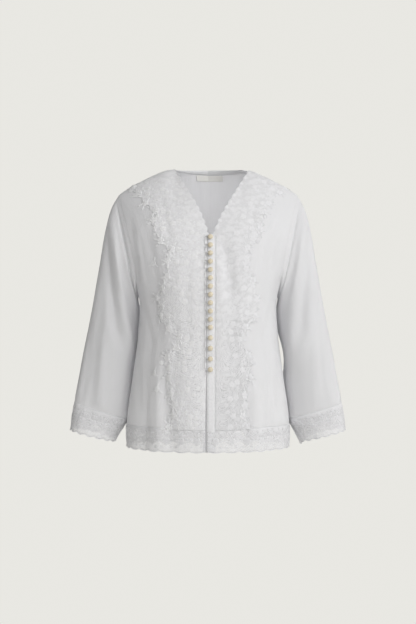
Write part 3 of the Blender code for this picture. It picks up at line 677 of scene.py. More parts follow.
def tubes(name, paths, radius, finish, sides=6, flatten=1.0):
    """Round cords along several lines of points. Each path is its points and their normals."""
    verts = []
    faces = []
    uvs = []
    base = 0
    angles = np.arange(sides) * 2 * math.pi / sides
    for line, normals in paths:
        tangent = unit(np.gradient(line, axis=0))
        aside = unit(np.cross(tangent, normals))
        up = np.cross(aside, tangent)
        ring = np.cos(angles)[None, :, None] * aside[:, None] * radius
        ring = ring + np.sin(angles)[None, :, None] * up[:, None] * radius * flatten
        verts.append((line[:, None] + ring).reshape(-1, 3))
        lengths = np.concatenate([[0], np.cumsum(np.linalg.norm(np.diff(line, axis=0), axis=1))])
        for i in range(len(line) - 1):
            for j in range(sides):
                k = (j + 1) % sides
                row = base + i * sides
                faces.append((row + j, row + k, row + sides + k, row + sides + j))
                around = 2 * math.pi * radius / sides
                uvs.extend(
                    (
                        (j * around, lengths[i]),
                        ((j + 1) * around, lengths[i]),
                        ((j + 1) * around, lengths[i + 1]),
                        (j * around, lengths[i + 1]),
                    )
                )
        faces.append(tuple(base + j for j in reversed(range(sides))))
        uvs.extend((0, 0) for _ in range(sides))
        end = base + (len(line) - 1) * sides
        faces.append(tuple(end + j for j in range(sides)))
        uvs.extend((0, 0) for _ in range(sides))
        base += len(line) * sides
    return add_piece(name, np.concatenate(verts), faces, finish, uvs)


def stitches(line, normals, long=0.0024, gap=0.0010):
    """Short cords along a line, as a row of stitches."""
    lengths = np.concatenate([[0], np.cumsum(np.linalg.norm(np.diff(line, axis=0), axis=1))])
    paths = []
    for start in np.arange(0, lengths[-1] - long, long + gap):
        at = start + np.array([0, 0.25, 0.5, 0.75, 1]) * long
        spots = np.stack([np.interp(at, lengths, line[:, k]) for k in range(3)], axis=1)
        out = np.stack([np.interp(at, lengths, normals[:, k]) for k in range(3)], axis=1)
        rise = np.array([-0.4, 0.6, 1, 0.6, -0.4])[:, None] * 0.00025
        paths.append((spots + unit(out) * rise, unit(out)))
    return paths


# Shader maths as plain expressions
class Shade:
    """A shader socket of one material, with the usual arithmetic."""

    def __init__(self, tree, socket=None):
        self.tree = tree
        self.socket = socket

    def node(self, kind, settings=None, values=None, output=0):
        """A new node of the same material: its settings first, then its inputs' values or links."""
        made = self.tree.nodes.new(kind)
        for key, value in (settings or {}).items():
            if key == "stops":
                ramp = made.color_ramp
                while len(ramp.elements) < len(value):
                    ramp.elements.new(0.5)
                for element, (place, colour) in zip(ramp.elements, value):
                    element.position = place
                    element.color = (*colour, 1)
            else:
                setattr(made, key, value)
        for key, value in (values or {}).items():
            if isinstance(value, Shade):
                self.tree.links.new(value.socket, made.inputs[key])
            else:
                made.inputs[key].default_value = value
        return Shade(self.tree, made.outputs[output])

    def maths(self, operation, *values):
        return self.node("ShaderNodeMath", {"operation": operation}, dict(enumerate(values)))

    def __add__(self, other):
        return self.maths("ADD", self, other)

    __radd__ = __add__

    def __mul__(self, other):
        return self.maths("MULTIPLY", self, other)

    __rmul__ = __mul__

    def __sub__(self, other):
        return self.maths("SUBTRACT", self, other)

    def __rsub__(self, other):
        return self.maths("SUBTRACT", other, self)

    def cosine(self):
        return self.maths("COSINE", self)

    def held(self):
        """Kept between 0 and 1."""
        return self.maths("MINIMUM", self.maths("MAXIMUM", self, 0.0), 1.0)

    def blend(self, low, high):
        """A colour between two, by this value."""
        values = {0: self, 6: (*low, 1) if isinstance(low, tuple) else low}
        values[7] = (*high, 1) if isinstance(high, tuple) else high
        return self.node("ShaderNodeMix", {"data_type": "RGBA"}, values, output=2)


def flat_place(shade):
    """The two distances over the flat cloth, in metres."""
    place = shade.node("ShaderNodeUVMap", {"uv_map": "cut"})
    u = shade.node("ShaderNodeSeparateXYZ", None, {0: place}, output=0)
    return u, Shade(shade.tree, u.socket.node.outputs[1])


def noise(shade, u, v, across, along, detail=2.0):
    """Soft random mottle with so many marks to the metre in each direction."""
    place = shade.node("ShaderNodeCombineXYZ", None, {0: u * across, 1: v * along})
    return shade.node("ShaderNodeTexNoise", None, {"Vector": place, "Scale": 1.0, "Detail": detail})


def net_cells(u, v, pitch):
    """A net of six-sided cells: near 3 in the middle of a hole, near -1.5 on its threads."""
    turn = 2 * math.pi / pitch * 2 / math.sqrt(3)
    slant = u * (turn * math.sqrt(3) / 2)
    return (v * turn).cosine() + (slant - v * (turn / 2)).cosine() + (slant + v * (turn / 2)).cosine()


def finished(name, base, colour, rough, height, bump_depth, see_through=0.0, alpha=None, sheen=0.0):
    """A material from its varying colour, roughness and height; some light passes through it."""
    made = bpy.data.materials.new(name)
    made.use_nodes = True
    tree = made.node_tree
    tree.nodes.clear()
    shade = Shade(tree)
    u, v = flat_place(shade)
    bump = shade.node(
        "ShaderNodeBump", None, {"Strength": 1.0, "Distance": bump_depth, "Height": height(shade, u, v)}
    )
    values = {"Base Color": colour(shade, u, v), "Roughness": rough, "Normal": bump, "Sheen Weight": sheen}
    values["Sheen Roughness"] = 0.5
    values["Specular IOR Level"] = 0.25
    if alpha:
        values["Alpha"] = alpha(shade, u, v)
    face = shade.node("ShaderNodeBsdfPrincipled", None, values)
    if see_through:
        behind = shade.node("ShaderNodeBsdfTranslucent", None, {"Color": (*base, 1), "Normal": bump})
        if alpha:
            clear = shade.node("ShaderNodeBsdfTransparent")
            behind = shade.node("ShaderNodeMixShader", None, {0: values["Alpha"], 1: clear, 2: behind})
        face = shade.node("ShaderNodeMixShader", None, {0: see_through, 1: face, 2: behind})
    tree.links.new(face.socket, tree.nodes.new("ShaderNodeOutputMaterial").inputs[0])
    return made


def lighter(colour, factor):
    return tuple(min(channel * factor, 1.0) for channel in colour)


def weave_height(shade, u, v):
    """Plain weave with slubs: threads both ways, some thicker than others."""
    warp = (u * (2 * math.pi / WARP_PITCH)).cosine()
    weft = (v * (2 * math.pi / WARP_PITCH)).cosine()
    slubs = noise(shade, u, v, 60, 1100) + noise(shade, u, v, 1100, 60)
    creases = noise(shade, u, v, 55, 6, 3.0) * 10 + noise(shade, u, v, 160, 40) * 2
    return warp * 0.25 + weft * 0.25 + slubs * 1.1 + creases


def weave_colour(shade, u, v):
    threads = noise(shade, u, v, 45, 900) * 0.5 + noise(shade, u, v, 900, 45) * 0.5
    return threads.blend(lighter(COTTON, 0.93), lighter(COTTON, 1.05))


def net_height(shade, u, v):
    holes = (net_cells(u, v, NET_PITCH) * 0.5).held()
    return 1 - holes + noise(shade, u, v, 260, 260) * 0.4


def net_alpha(shade, u, v):
    holes = (net_cells(u, v, NET_PITCH) * 0.5).held()
    patches = ((noise(shade, u, v, 70, 70, 3.0) - 0.46) * 7).held()
    return 1 - holes * (1 - patches) * 0.5


def open_net_alpha(shade, u, v):
    """Holes of the open net, filled in where the pattern is woven closed."""
    holes = ((net_cells(u, v, OPEN_NET_PITCH) + 0.35) * 0.9).held()
    patches = ((noise(shade, u, v, 62, 62, 3.0) - 0.56) * 8).held()
    return 1 - holes * (1 - patches) * (v * 120 - 0.5).held() * 0.85


def open_net_height(shade, u, v):
    holes = ((net_cells(u, v, OPEN_NET_PITCH) - 0.1) * 0.8).held()
    return 1 - holes + noise(shade, u, v, 260, 260) * 0.4


# Painted shade: the open net is coloured darker than the lace thread, standing in for the shade seen
# through its openwork
def open_net_shaded_colour(shade, u, v):
    return noise(shade, u, v, 90, 90).blend(lighter(LACE_WHITE, 0.84), lighter(LACE_WHITE, 0.95))


# Painted shade: the bands' thread is a darker copy of the lace thread's colour, standing in for the shade
# on and through the bands
def band_colour_with_painted_shade(shade, u, v):
    return noise(shade, u, v, 120, 240).blend(lighter(LACE_WHITE, 0.82), lighter(LACE_WHITE, 0.93))


def satin_stitch_height(shade, u, v):
    return (v * (2 * math.pi / SATIN_STITCH_PITCH)).cosine() * 0.5 + noise(shade, u, v, 700, 1600)


def lace_thread_colour(shade, u, v):
    return noise(shade, u, v, 120, 240).blend(lighter(LACE_WHITE, 0.93), lighter(LACE_WHITE, 1.04))


def button_height(shade, u, v):
    warp = (u * (2 * math.pi / BUTTON_WARP_PITCH)).cosine()
    return warp * 0.3 + noise(shade, u, v, 900, 200)


def button_colour(shade, u, v):
    return noise(shade, u, v, 220, 220).blend(lighter(CREAM, 0.94), lighter(CREAM, 1.08))


def label_height(shade, u, v):
    return (v * (2 * math.pi / LABEL_WARP_PITCH)).cosine() + noise(shade, u, v, 1500, 90) * 0.6


def label_colour(shade, u, v):
    return noise(shade, u, v, 900, 60).blend(lighter(LABEL_CREAM, 0.96), lighter(LABEL_CREAM, 1.06))


voile = finished("cotton_voile", COTTON, weave_colour, 0.82, weave_height, WEAVE_DEPTH, 0.42, sheen=0.12)
back_cotton = finished(
    "back_voile", COTTON, weave_colour, 0.82, weave_height, WEAVE_DEPTH, 0.60, sheen=0.12
)
folded_cotton = finished("folded_cotton", COTTON, weave_colour, 0.85, weave_height, WEAVE_DEPTH, 0.28)
# The open net's darker colour is painted shade
open_net = finished(
    "open_lace_net", LACE_WHITE, open_net_shaded_colour, 0.88, open_net_height, 0.0002, 0.15, open_net_alpha
)
lace_thread = finished(
    "lace_thread", LACE_WHITE, lace_thread_colour, 0.78, satin_stitch_height, WEAVE_DEPTH, 0.10, sheen=0.1
)
# Each front gets its own copy of the lace net and thread; the wearer's left copy is darkened by painted
# shade
front_lace_lit_and_shaded = {}
for side, name in SIDES:
    def thread_colour(shade, u, v, painted_shade_factor=FRONT_LACE_PAINTED_SHADE[side]):
        threads = ((noise(shade, u, v, 420, 260, 3.0) - 0.5) * 2.2 + 0.5).held()
        return threads.blend(lighter(LACE_WHITE, 0.96 * painted_shade_factor), lighter(LACE_WHITE, 1.12 * painted_shade_factor))

    def net_colour_with_shaded_holes(shade, u, v, painted_shade_factor=FRONT_LACE_PAINTED_SHADE[side]):
        # Painted shade: the net's holes are coloured darker than its threads, as the shade seen through
        # them
        holes = (net_cells(u, v, NET_PITCH) * 0.5).held()
        return holes.blend(lighter(LACE_WHITE, 1.02 * painted_shade_factor), lighter(LACE_WHITE, 0.96 * painted_shade_factor))

    front_lace_lit_and_shaded[side] = (
        finished(f"lace_net_{name}", LACE_WHITE, net_colour_with_shaded_holes, 0.88, net_height, 0.0003, 0.15, net_alpha),
        finished(
            f"lace_thread_{name}", LACE_WHITE, thread_colour, 0.78, satin_stitch_height, WEAVE_DEPTH, 0.10
        ),
    )
# A darker copy of the lace thread for the bands: painted shade
shaded_band_thread = finished(
    "shaded_band_thread", LACE_WHITE, band_colour_with_painted_shade, 0.80, satin_stitch_height, WEAVE_DEPTH, 0.10
)
covered_button = finished("covered_button", CREAM, button_colour, 0.42, button_height, 0.00006)
woven_label = finished("woven_label", LABEL_CREAM, label_colour, 0.70, label_height, 0.00002, 0.15)


# Panels and sleeves
def spread(count, last=1.0, first=0.0):
    return np.linspace(first, last, count)


def columns_by_rows(columns, rows):
    """Two arrays of one shape: the rows run down, the columns across."""
    return np.meshgrid(columns, rows)


front_grids = {}
for side, name in SIDES:
    parts, rows = columns_by_rows(spread(52), spread(PANEL_ROWS, LAST_ROW))
    front_grids[side] = front_grid(side, rows, parts)
columns, rows = columns_by_rows(spread(96, 18), spread(PANEL_ROWS, LAST_ROW))
back_cloth = back_grid(columns, rows)

front_pieces = {}
for side, name in SIDES:
    piece = cloth(f"front_{name}_voile", front_grids[side], VOILE_WALL, voile)
    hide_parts(f"front_{name}")
    front_pieces[side] = piece
back_piece = cloth("back_voile", back_cloth, VOILE_WALL, back_cotton)
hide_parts("back")

sleeve_pieces = {}
for side, name in SIDES:
    turns, rings = columns_by_rows(spread(97, 2 * math.pi), CUFF_RING * spread(112) ** 1.05)
    grid = sleeve_point(side, turns, rings)
    grid[:, -1] = grid[:, 0]
    piece = cloth(f"sleeve_{name}_voile", grid, VOILE_WALL, voile, closed=True)
    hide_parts(f"sleeve_{name}")
    sleeve_pieces[side] = piece


# Flower lace laid on the fronts
def lace_edge(drop):
    """Distance from the middle of the lace's outer edge, with its small waves."""
    reach = smooth_value(LACE_EDGE, LACE_REACH, drop)
    for pitch, depth, start in EDGE_WAVES:
        reach = reach + depth * np.sin(2 * math.pi * drop / pitch + start)
    return reach


def neck_edge_line(side, count=400):
    """Drops, distances along and x of the scalloped neck edge."""
    drops = spread(count, V_EDGE[-1][0] + 0.004)
    x = smooth_value(V_EDGE, neck_column(side), drops)
    lengths = np.concatenate([[0], np.cumsum(np.hypot(np.diff(x), np.diff(drops)))])
    deep = NECK_SCALLOP_DEPTH * scallop(lengths / NECK_SCALLOP_PITCH)
    return drops, lengths, x + side * (NECK_SCALLOP_DEPTH - deep)


def part_where(parts, spare):
    """For each row, how far across the spare room runs out."""
    outside = spare < 0
    first = np.where(outside.any(axis=1), outside.argmax(axis=1), len(parts) - 1)
    before = np.maximum(first - 1, 0)
    at = np.arange(len(spare))
    inner = spare[at, before]
    outer = spare[at, first]
    share = np.clip(inner / np.maximum(inner - outer, 1e-9), 0, 1)
    return mix(parts[before], parts[first], share)


def laid_lace_grid(side):
    """The net from the scalloped neck edge, or the opening, to the lace's outer edge."""
    rows = spread(340, LAST_ROW)
    parts = spread(400, 1.0, -0.12)
    probe_parts, probe_rows = columns_by_rows(parts, rows)
    turn, z = front_spot(side, probe_rows, probe_parts)
    x = half_width(z) * np.sin(turn)
    last_part = part_where(parts, lace_edge(-z) - NET_INSET - side * x)
    drops, _, edge_x = neck_edge_line(side)
    neck = np.interp(-z, drops, side * edge_x)
    first_part = part_where(parts, neck - side * x)
    first_part = np.where(rows < V_ROWS - 0.2, first_part, 0.0)
    at = mix(first_part[:, None], last_part[:, None], spread(NET_COLUMNS)[None, :])
    grid = front_grid(side, np.repeat(rows[:, None], NET_COLUMNS, axis=1), at)
    normals = grid_normals(grid)
    sign = 1 if normals[..., 1].mean() < 0 else -1
    return grid + normals * sign * LAYER_STEP


lace_grounds = {}
for side, name in SIDES:
    piece = cloth(f"flower_lace_{name}_net", laid_lace_grid(side), LACE_WALL, front_lace_lit_and_shaded[side][0])
    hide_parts(f"flower_lace_{name}")
    lace_grounds[side] = (piece,)

# Raised petals and leaves: rings of a low pad with a corded rim, its length along u from 0 to 1
PAD_SIDES = 12
PAD_RINGS = ((1.00, 0.00), (0.88, 1.00), (0.60, 0.62))


def pad_outline(kind):
    angle = np.arange(PAD_SIDES) * 2 * math.pi / PAD_SIDES
    along = (1 - np.cos(angle)) / 2
    across = np.sin(angle)
    if kind == "petal":
        across = across * (0.40 + 0.75 * along)
    if kind == "leaf":
        across = across * np.abs(across) ** 0.35
    return along, across / 2


def pads_mesh(name, pads, place, finish):
    """Many pads in one mesh. A pad: anchor a, b, offsets u, v, angle, length, width, height, kind."""
    verts = []
    faces = []
    uvs = []
    for index, (a, b, u0, v0, angle, length, width, height, kind) in enumerate(pads):
        along, across = pad_outline(kind)
        s = [0.5 + (along - 0.5) * size for size, _ in PAD_RINGS]
        t = [across * size for size, _ in PAD_RINGS]
        h = [np.full(PAD_SIDES, rise * height) for _, rise in PAD_RINGS]
        s = np.concatenate([*s, [0.5]]) * length
        t = np.concatenate([*t, [0.0]]) * width
        h = np.concatenate([*h, [0.70 * height]])
        u = u0 + math.cos(angle) * s - math.sin(angle) * t
        v = v0 + math.sin(angle) * s + math.cos(angle) * t
        verts.append(np.stack([np.full_like(u, a), np.full_like(u, b), u, v, h], axis=1))
        base = index * (PAD_SIDES * len(PAD_RINGS) + 1)
        local = np.stack([t, s], axis=1)
        for ring in range(len(PAD_RINGS)):
            for j in range(PAD_SIDES):
                k = (j + 1) % PAD_SIDES
                if ring < len(PAD_RINGS) - 1:
                    face = (ring * PAD_SIDES + j, ring * PAD_SIDES + k)
                    face = (*face, (ring + 1) * PAD_SIDES + k, (ring + 1) * PAD_SIDES + j)
                else:
                    face = (ring * PAD_SIDES + j, ring * PAD_SIDES + k, len(PAD_RINGS) * PAD_SIDES)
                faces.append([base + corner for corner in face])
                uvs.extend(local[corner] for corner in face)
    table = np.concatenate(verts)
    return add_piece(name, place(*table.T), faces, finish, uvs)


def flower(a, b, radius, start, height=0.0009, petals=5):
    """Pads of one flower: petals round a small dome, and a smaller ring on a large one."""
    made = []
    rings = [(radius, 0.0, height)]
    if radius > 0.0085:
        rings.append((radius * 0.55, math.pi / petals, height * 1.9))
    for reach, twist, rise in rings:
        for k in range(petals):
            angle = start + twist + 2 * math.pi * k / petals
            wide = reach * 1.6 * math.sin(math.pi / petals)
            first = reach * 0.10
            u, v = first * math.cos(angle), first * math.sin(angle)
            made.append((a, b, u, v, angle, reach * 0.9, wide, rise, "petal"))
    small = radius * 0.42
    made.append((a, b, -small / 2, 0.0, 0.0, small, small, rings[-1][2] * 1.5, "dot"))
    return made


def leaf(a, b, angle, length, u=0.0, v=0.0, height=0.0008):
    return [(a, b, u, v, angle, length, length * 0.36, height, "leaf")]


def placed_on_front(side):
    def place(a, b, u, v, h):
        """Anchors are a distance from the middle and a drop; u runs outwards and v down."""
        x = side * a
        z = np.minimum(-b, shoulder_height(x) - 0.004)
        turn = turn_of(x, z)
        start = body_point(FRONT, turn, z)
        normal = body_normal(FRONT, turn, z)
        across = body_point(FRONT, turn + side * 0.004, z) - start
        across = unit(across - normal * (across * normal).sum(axis=1, keepdims=True))
        down = np.cross(across, normal)
        down = down * np.sign(-down[:, 2:3])
        spot = start + across * u[:, None] + down * v[:, None]
        z = np.minimum(spot[:, 2], shoulder_height(spot[:, 0]) - 0.0015)
        turn = turn_of(spot[:, 0], z)
        out = LAYER_STEP + LACE_WALL / 2 - PAD_SINK + h
        return body_point(FRONT, turn, z) + body_normal(FRONT, turn, z) * out[:, None]

    return place


def lace_sprigs(side, seed):
    """A generic scatter of flowers and leaves: large at the lobed edge, smaller towards the middle."""
    rng = np.random.default_rng(seed)
    pads = []
    taken = []
    drops = spread(800, 0.556)
    edges = lace_edge(drops)

    def free(x, drop, room):
        return all((x - a) ** 2 + (drop - b) ** 2 > (room + c) ** 2 for a, b, c in taken)

    def inner_limit(drop):
        neck = side * smooth_value(V_EDGE, neck_column(side), drop) + EDGING_WIDTH
        opening = STAND_REACH if side == WEARERS_LEFT else 0.004
        return np.where(drop < V_EDGE[-1][0], np.maximum(neck, opening), opening)

    for drop in np.arange(0.014, 0.552, 0.0205):
        drop = drop + rng.uniform(-0.004, 0.004)
        x = np.interp(drop, drops, edges) - rng.uniform(0.004, 0.013)
        radius = rng.uniform(0.0070, 0.0092)
        if not free(x, drop, radius * 0.8):
            continue
        pads += flower(x, drop, radius, rng.uniform(0, 6))
        taken.append((x, drop, radius * 0.92))
        for turned in (-1.9, -0.9, 0.1, 1.1, 2.1):
            angle = turned + rng.uniform(-0.35, 0.35)
            near_x, near_drop = radius * math.cos(angle), radius * math.sin(angle)
            long = rng.uniform(0.006, 0.011)
            pads += leaf(x, drop, angle + rng.uniform(-0.5, 0.5), long, near_x, near_drop)
            taken.append((x + 1.5 * near_x, drop + 1.5 * near_drop, 0.0028))
    for radius, tries in ((0.0072, 2500), (0.0056, 4000), (0.0042, 6000)):
        for _ in range(tries):
            drop = rng.uniform(0.02, 0.552)
            low = float(inner_limit(drop)) + radius
            high = np.interp(drop, drops, edges) - radius * 0.6
            if high <= low:
                continue
            x = rng.uniform(low, high)
            nearness = (x - low) / (high - low)
            if radius > 0.007 and nearness < 0.35 or not free(x, drop, radius * 0.92):
                continue
            taken.append((x, drop, radius * 0.92))
            rise = 0.00026 + 0.00036 * nearness
            if rng.uniform() < 0.38:
                pads += flower(x, drop, radius * 0.9, rng.uniform(0, 6), rise)
            else:
                angle = rng.uniform(0, 2 * math.pi)
                for turn in (0.0, 1.3, 2.6, -1.3, -2.6)[: rng.integers(3, 6)]:
                    pads += leaf(x, drop, angle + turn, radius * rng.uniform(0.8, 1.1), height=rise)
    for _ in range(7000):
        drop = rng.uniform(0.02, 0.552)
        low = float(inner_limit(drop)) + 0.003
        x = rng.uniform(low, max(np.interp(drop, drops, edges) - 0.003, low + 0.001))
        if free(x, drop, 0.0020):
            taken.append((x, drop, 0.0020))
            pads.append((x, drop, -0.0013, 0.0, rng.uniform(0, 6), 0.0026, 0.0022, 0.00025, "dot"))
    for x, drop in DETACHED_SPRIGS if side == WEARERS_RIGHT else ():
        pads += flower(x, drop, 0.0062, rng.uniform(0, 6))
        for angle in (0.4, 2.6, 4.4):
            pads += leaf(x, drop, angle, 0.0085, 0.006 * math.cos(angle), 0.006 * math.sin(angle))
    return [(*pad[:7], pad[7] * LACE_RELIEF[side], pad[8]) for pad in pads]


for side, name in SIDES:
    pads = lace_sprigs(side, 11 + side)
    relief = pads_mesh(f"flower_lace_{name}_sprigs", pads, placed_on_front(side), front_lace_lit_and_shaded[side][1])
    lace_grounds[side] = (*lace_grounds[side], relief)


# Hem bands
def band(part_name, face, ends, scallops, lap):
    name = f"hem_band_{part_name}"
    parts, levels = columns_by_rows(spread(scallops * 16 + 1), spread(14, 1.0, -HEM_LAP))
    turn, z = hem_spot(ends, scallops, parts, levels)
    rise = lap * (FIRST_RISE + (1 - FIRST_RISE) * ease((levels + HEM_LAP) / 0.3))
    grid = body_point(face, turn, z) + body_normal(face, turn, z) * rise[..., None]
    piece = cloth(f"{name}_net", grid, LACE_WALL, open_net)
    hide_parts(f"hem_lace_{part_name}")
    normal = body_normal(face, turn, z)
    cords = [(grid[-1] + normal[-1] * EDGE_CORD_RISE, normal[-1])]
    cord = tubes(f"{name}_cords", cords, EDGE_CORD_RADIUS, lace_thread)
    length = line_lengths(grid, 1)[0, -1]
    height = line_lengths(grid, 0)[-1, 0] / (1 + HEM_LAP)

    def place(a, b, u, v, h):
        part = np.clip(a + u / length, 0, 1)
        turn, z = hem_spot(ends, scallops, part, np.clip(b + v / height, HEM_TOP_LEVEL, 1))
        out = lap + LACE_WALL / 2 - PAD_SINK + h
        return body_point(face, turn, z) + body_normal(face, turn, z) * out[:, None]

    pads = []
    for k in range(scallops):
        pads += band_motif((k + 0.5) / scallops, length / scallops)
    relief = pads_mesh(f"{name}_sprigs", pads, place, shaded_band_thread)
    return piece, cord, relief


# Small leaves along a band's top edge: place in the repeat, angle and length
TOP_EDGE_LEAVES = ((-0.42, 0.4, 0.0075), (-0.20, 2.3, 0.0065), (0.06, 0.9, 0.0070), (0.30, 2.7, 0.0075))


def band_motif(middle, pitch):
    """One repeat of a band: a flower over the scallop with leaves beside it."""
    pads = flower(middle, 0.50, min(0.0078, pitch * 0.30), math.pi / 2, 0.0007)
    for side in (-1, 1):
        for v, angle, long in ((-0.007, 0.5, 0.0085), (0.001, -0.15, 0.0090), (0.009, 0.7, 0.0080)):
            angle = math.pi / 2 - side * (math.pi / 2 - angle)
            pads += leaf(middle, 0.50, angle, long, side * pitch * 0.22, v, 0.0006)
    for place, angle, long in TOP_EDGE_LEAVES:
        pads += leaf(middle, 0.50, angle, long, place * pitch, -0.0225, 0.0005)
        pads += leaf(middle, 0.50, angle + 1.2, long * 0.8, place * pitch, -0.0190, 0.0005)
    pads += leaf(middle, 0.50, -1.2, 0.0085, 0.001, -0.0095, 0.0006)
    pads += leaf(middle, 0.50, -1.9, 0.0085, -0.001, -0.0095, 0.0006)
    return pads


FRONT_LAP = LAYER_STEP + BAND_STEP
hem_pieces = {
    "right": band("right", FRONT, (-0.01, -1), FRONT_HEM_SCALLOPS, FRONT_LAP),
    "left": band("left", FRONT, (0.01, 1), FRONT_HEM_SCALLOPS, FRONT_LAP),
    "back": band("back", BACK, (-1, 1), BACK_HEM_SCALLOPS, BAND_STEP),
}


# Cuff bands
def cuff_ring(turn, level):
    edge = LAST_RING + CUFF_SCALLOP_RINGS * (scallop(turn / (2 * math.pi) * CUFF_SCALLOPS) - 1)
    return mix(CUFF_RING - CUFF_LAP_RINGS, edge, level)


cuff_pieces = {}
for side, name in SIDES:
    turns, levels = columns_by_rows(spread(CUFF_SCALLOPS * 14 + 1, 2 * math.pi), spread(14))
    rings = cuff_ring(turns, levels)
    grid = sleeve_point(side, turns, rings)
    normal = sleeve_normal(side, turns, rings)
    outward = np.sign((normal * (grid - grid.mean(axis=1, keepdims=True))).sum(axis=-1).mean())
    normal = normal * outward
    grid = grid + normal * (BAND_STEP * (FIRST_RISE + (1 - FIRST_RISE) * ease(levels / 0.3)))[..., None]
    grid[:, -1] = grid[:, 0]
    net = cloth(f"cuff_band_{name}_net", grid, LACE_WALL, open_net, closed=True)
    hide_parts(f"cuff_lace_{name}")
    cords = [(grid[-1] + normal[-1] * EDGE_CORD_RISE, normal[-1])]
    cord = tubes(f"cuff_band_{name}_cords", cords, EDGE_CORD_RADIUS, lace_thread)
    length = line_lengths(grid, 1)[5, -1]
    height = line_lengths(grid, 0)[-1].mean()

    def place_on_cuff(a, b, u, v, h, side=side, length=length, height=height, outward=outward):
        turn = (a + u / length) * 2 * math.pi
        ring = cuff_ring(turn, np.clip(b + v / height, CUFF_TOP_LEVEL, 1))
        out = BAND_STEP + LACE_WALL / 2 - PAD_SINK + h
        return sleeve_point(side, turn, ring) + sleeve_normal(side, turn, ring) * (outward * out)[:, None]

    pads = []
    for k in range(CUFF_SCALLOPS):
        pads += band_motif((k + 0.5) / CUFF_SCALLOPS, length / CUFF_SCALLOPS)
    relief = pads_mesh(f"cuff_band_{name}_sprigs", pads, place_on_cuff, shaded_band_thread)
    cuff_pieces[name] = (net, cord, relief)


# Neck edging, neck binding and label
edging_pieces = {}
for side, name in SIDES:
    drops, lengths, edge_x = neck_edge_line(side)
    cloth_x = smooth_value(V_EDGE, neck_column(side), drops) + side * EDGING_WIDTH
    near_top = ease(drops / ROW_DROPS[1])
    base_z = mix(shoulder_height(cloth_x[0]), -drops, near_top)
    edge_z = mix(shoulder_height(edge_x[0]), -drops, near_top)
    lines = []
    for share in spread(6):
        x = mix(cloth_x, edge_x, share)
        z = np.minimum(mix(base_z, edge_z, share), shoulder_height(x))
        lines.append(body_point(FRONT, turn_of(x, z), z))
    grid = np.stack(lines)
    net = cloth(f"neck_edging_{name}_net", grid, LACE_WALL, open_net)
    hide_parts(f"neck_edging_{name}")
    normals = grid_normals(grid)
    normals = normals * (1 if normals[..., 1].mean() < 0 else -1)
    cords = [(grid[-1] + normals[-1] * LAYER_STEP, normals[-1])]
    cord = tubes(f"neck_edging_{name}_cords", cords, EDGE_CORD_RADIUS, lace_thread)
    pads = []
    for k in range(int(lengths[-1] / NECK_SCALLOP_PITCH)):
        middle = (k + 0.5) * NECK_SCALLOP_PITCH
        drop = np.interp(middle, lengths, drops)
        x = side * np.interp(middle, lengths, smooth_value(V_EDGE, neck_column(side), drops))
        pads += flower(x + 0.0042, drop, 0.0040, 0.4 * k, 0.0006)
    relief = pads_mesh(f"neck_edging_{name}_sprigs", pads, placed_on_front(side), lace_thread)
    edging_pieces[name] = (net, cord, relief)

first, last = V_EDGE[0][V_RIGHT], V_EDGE[0][V_LEFT]
parts = spread(70)
top_columns = mix(SHOULDER_COLUMNS, SHOULDER_COLUMNS + NECK_COLUMNS, parts)
low = back_grid(top_columns, parts * 0)
x = mix(first, last, parts)
z = neckline_z(first, last, BACK_NECK_RISE, parts)
high = body_point(BACK, turn_of(x, z), z)
binding_grid = np.stack([mix(low, high, share) for share in (0.0, 0.33, 0.66, 1.0)])
binding = cloth("neck_binding_strip", binding_grid, LACE_WALL * 2, folded_cotton)
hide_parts("neck_binding_back")

columns = spread(60, LABEL_COLUMNS[1], LABEL_COLUMNS[0])
columns, rows = columns_by_rows(columns, spread(16, LABEL_ROWS[1], LABEL_ROWS[0]))
label_grid = back_grid(columns, rows)
normals = grid_normals(label_grid)
normals = normals * (1 if normals[..., 1].mean() < 0 else -1)
label_grid = label_grid + normals * LAYER_STEP
label = cloth("neck_label_bare", label_grid, LACE_WALL, woven_label)
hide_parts("neck_label")
label_stitches = []
for column in (1, -2):
    label_stitches += stitches(label_grid[:, column] + normals[:, column] * 0.0004, normals[:, column])
label_thread = tubes("neck_label_stitches", label_stitches, 0.0003, lace_thread, sides=5)


# Button stand, buttons and loops
def stand_spot(x, drop, out):
    x, drop = np.broadcast_arrays(np.asarray(x, float), np.asarray(drop, float))
    turn = turn_of(x, -drop)
    return body_point(FRONT, turn, -drop) + body_normal(FRONT, turn, -drop) * np.reshape(out, (-1, 1))


drops = spread(190, HEM_DROP_MIDDLE - 0.001, STAND_TOP_DROP - 0.0012)
lines = []
for share in spread(4, 0.9):
    x = mix(UNDERLAP_REACH, opening_edge(WEARERS_LEFT, drops), share)
    lines.append(stand_spot(x, drops, np.full(len(drops), UNDERLAP_DEPTH)))
for share in spread(7):
    x = mix(opening_edge(WEARERS_LEFT, drops), STAND_REACH, share)
    rounded = STAND_RISE - 0.0007 * abs(2 * share - 1) ** 6
    lines.append(stand_spot(x, drops, np.full(len(drops), rounded)))
stand_grid = np.stack(lines, axis=1)
# The strip takes the wearer's left lace thread, with its painted shade
stand = cloth("button_stand_strip", stand_grid, STAND_WALL, front_lace_lit_and_shaded[WEARERS_LEFT][1])
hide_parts("button_stand")
stand_paths = []
for x in (STAND_STITCH_INSET, STAND_REACH - STAND_STITCH_INSET):
    line = stand_spot(x, drops, np.full(len(drops), STAND_RISE + STAND_WALL / 2))
    stand_paths += stitches(line, np.repeat([[0.0, -1.0, 0.0]], len(line), axis=0))
stand_thread = tubes("button_stand_stitches", stand_paths, STITCH_RADIUS, lace_thread, sides=5)

button_drops = [FIRST_BUTTON_DROP]
for k in range(1, BUTTON_COUNT):
    button_drops.append(button_drops[-1] + (CLOSE_PITCH if k < CLOSE_BUTTONS else WIDE_PITCH))

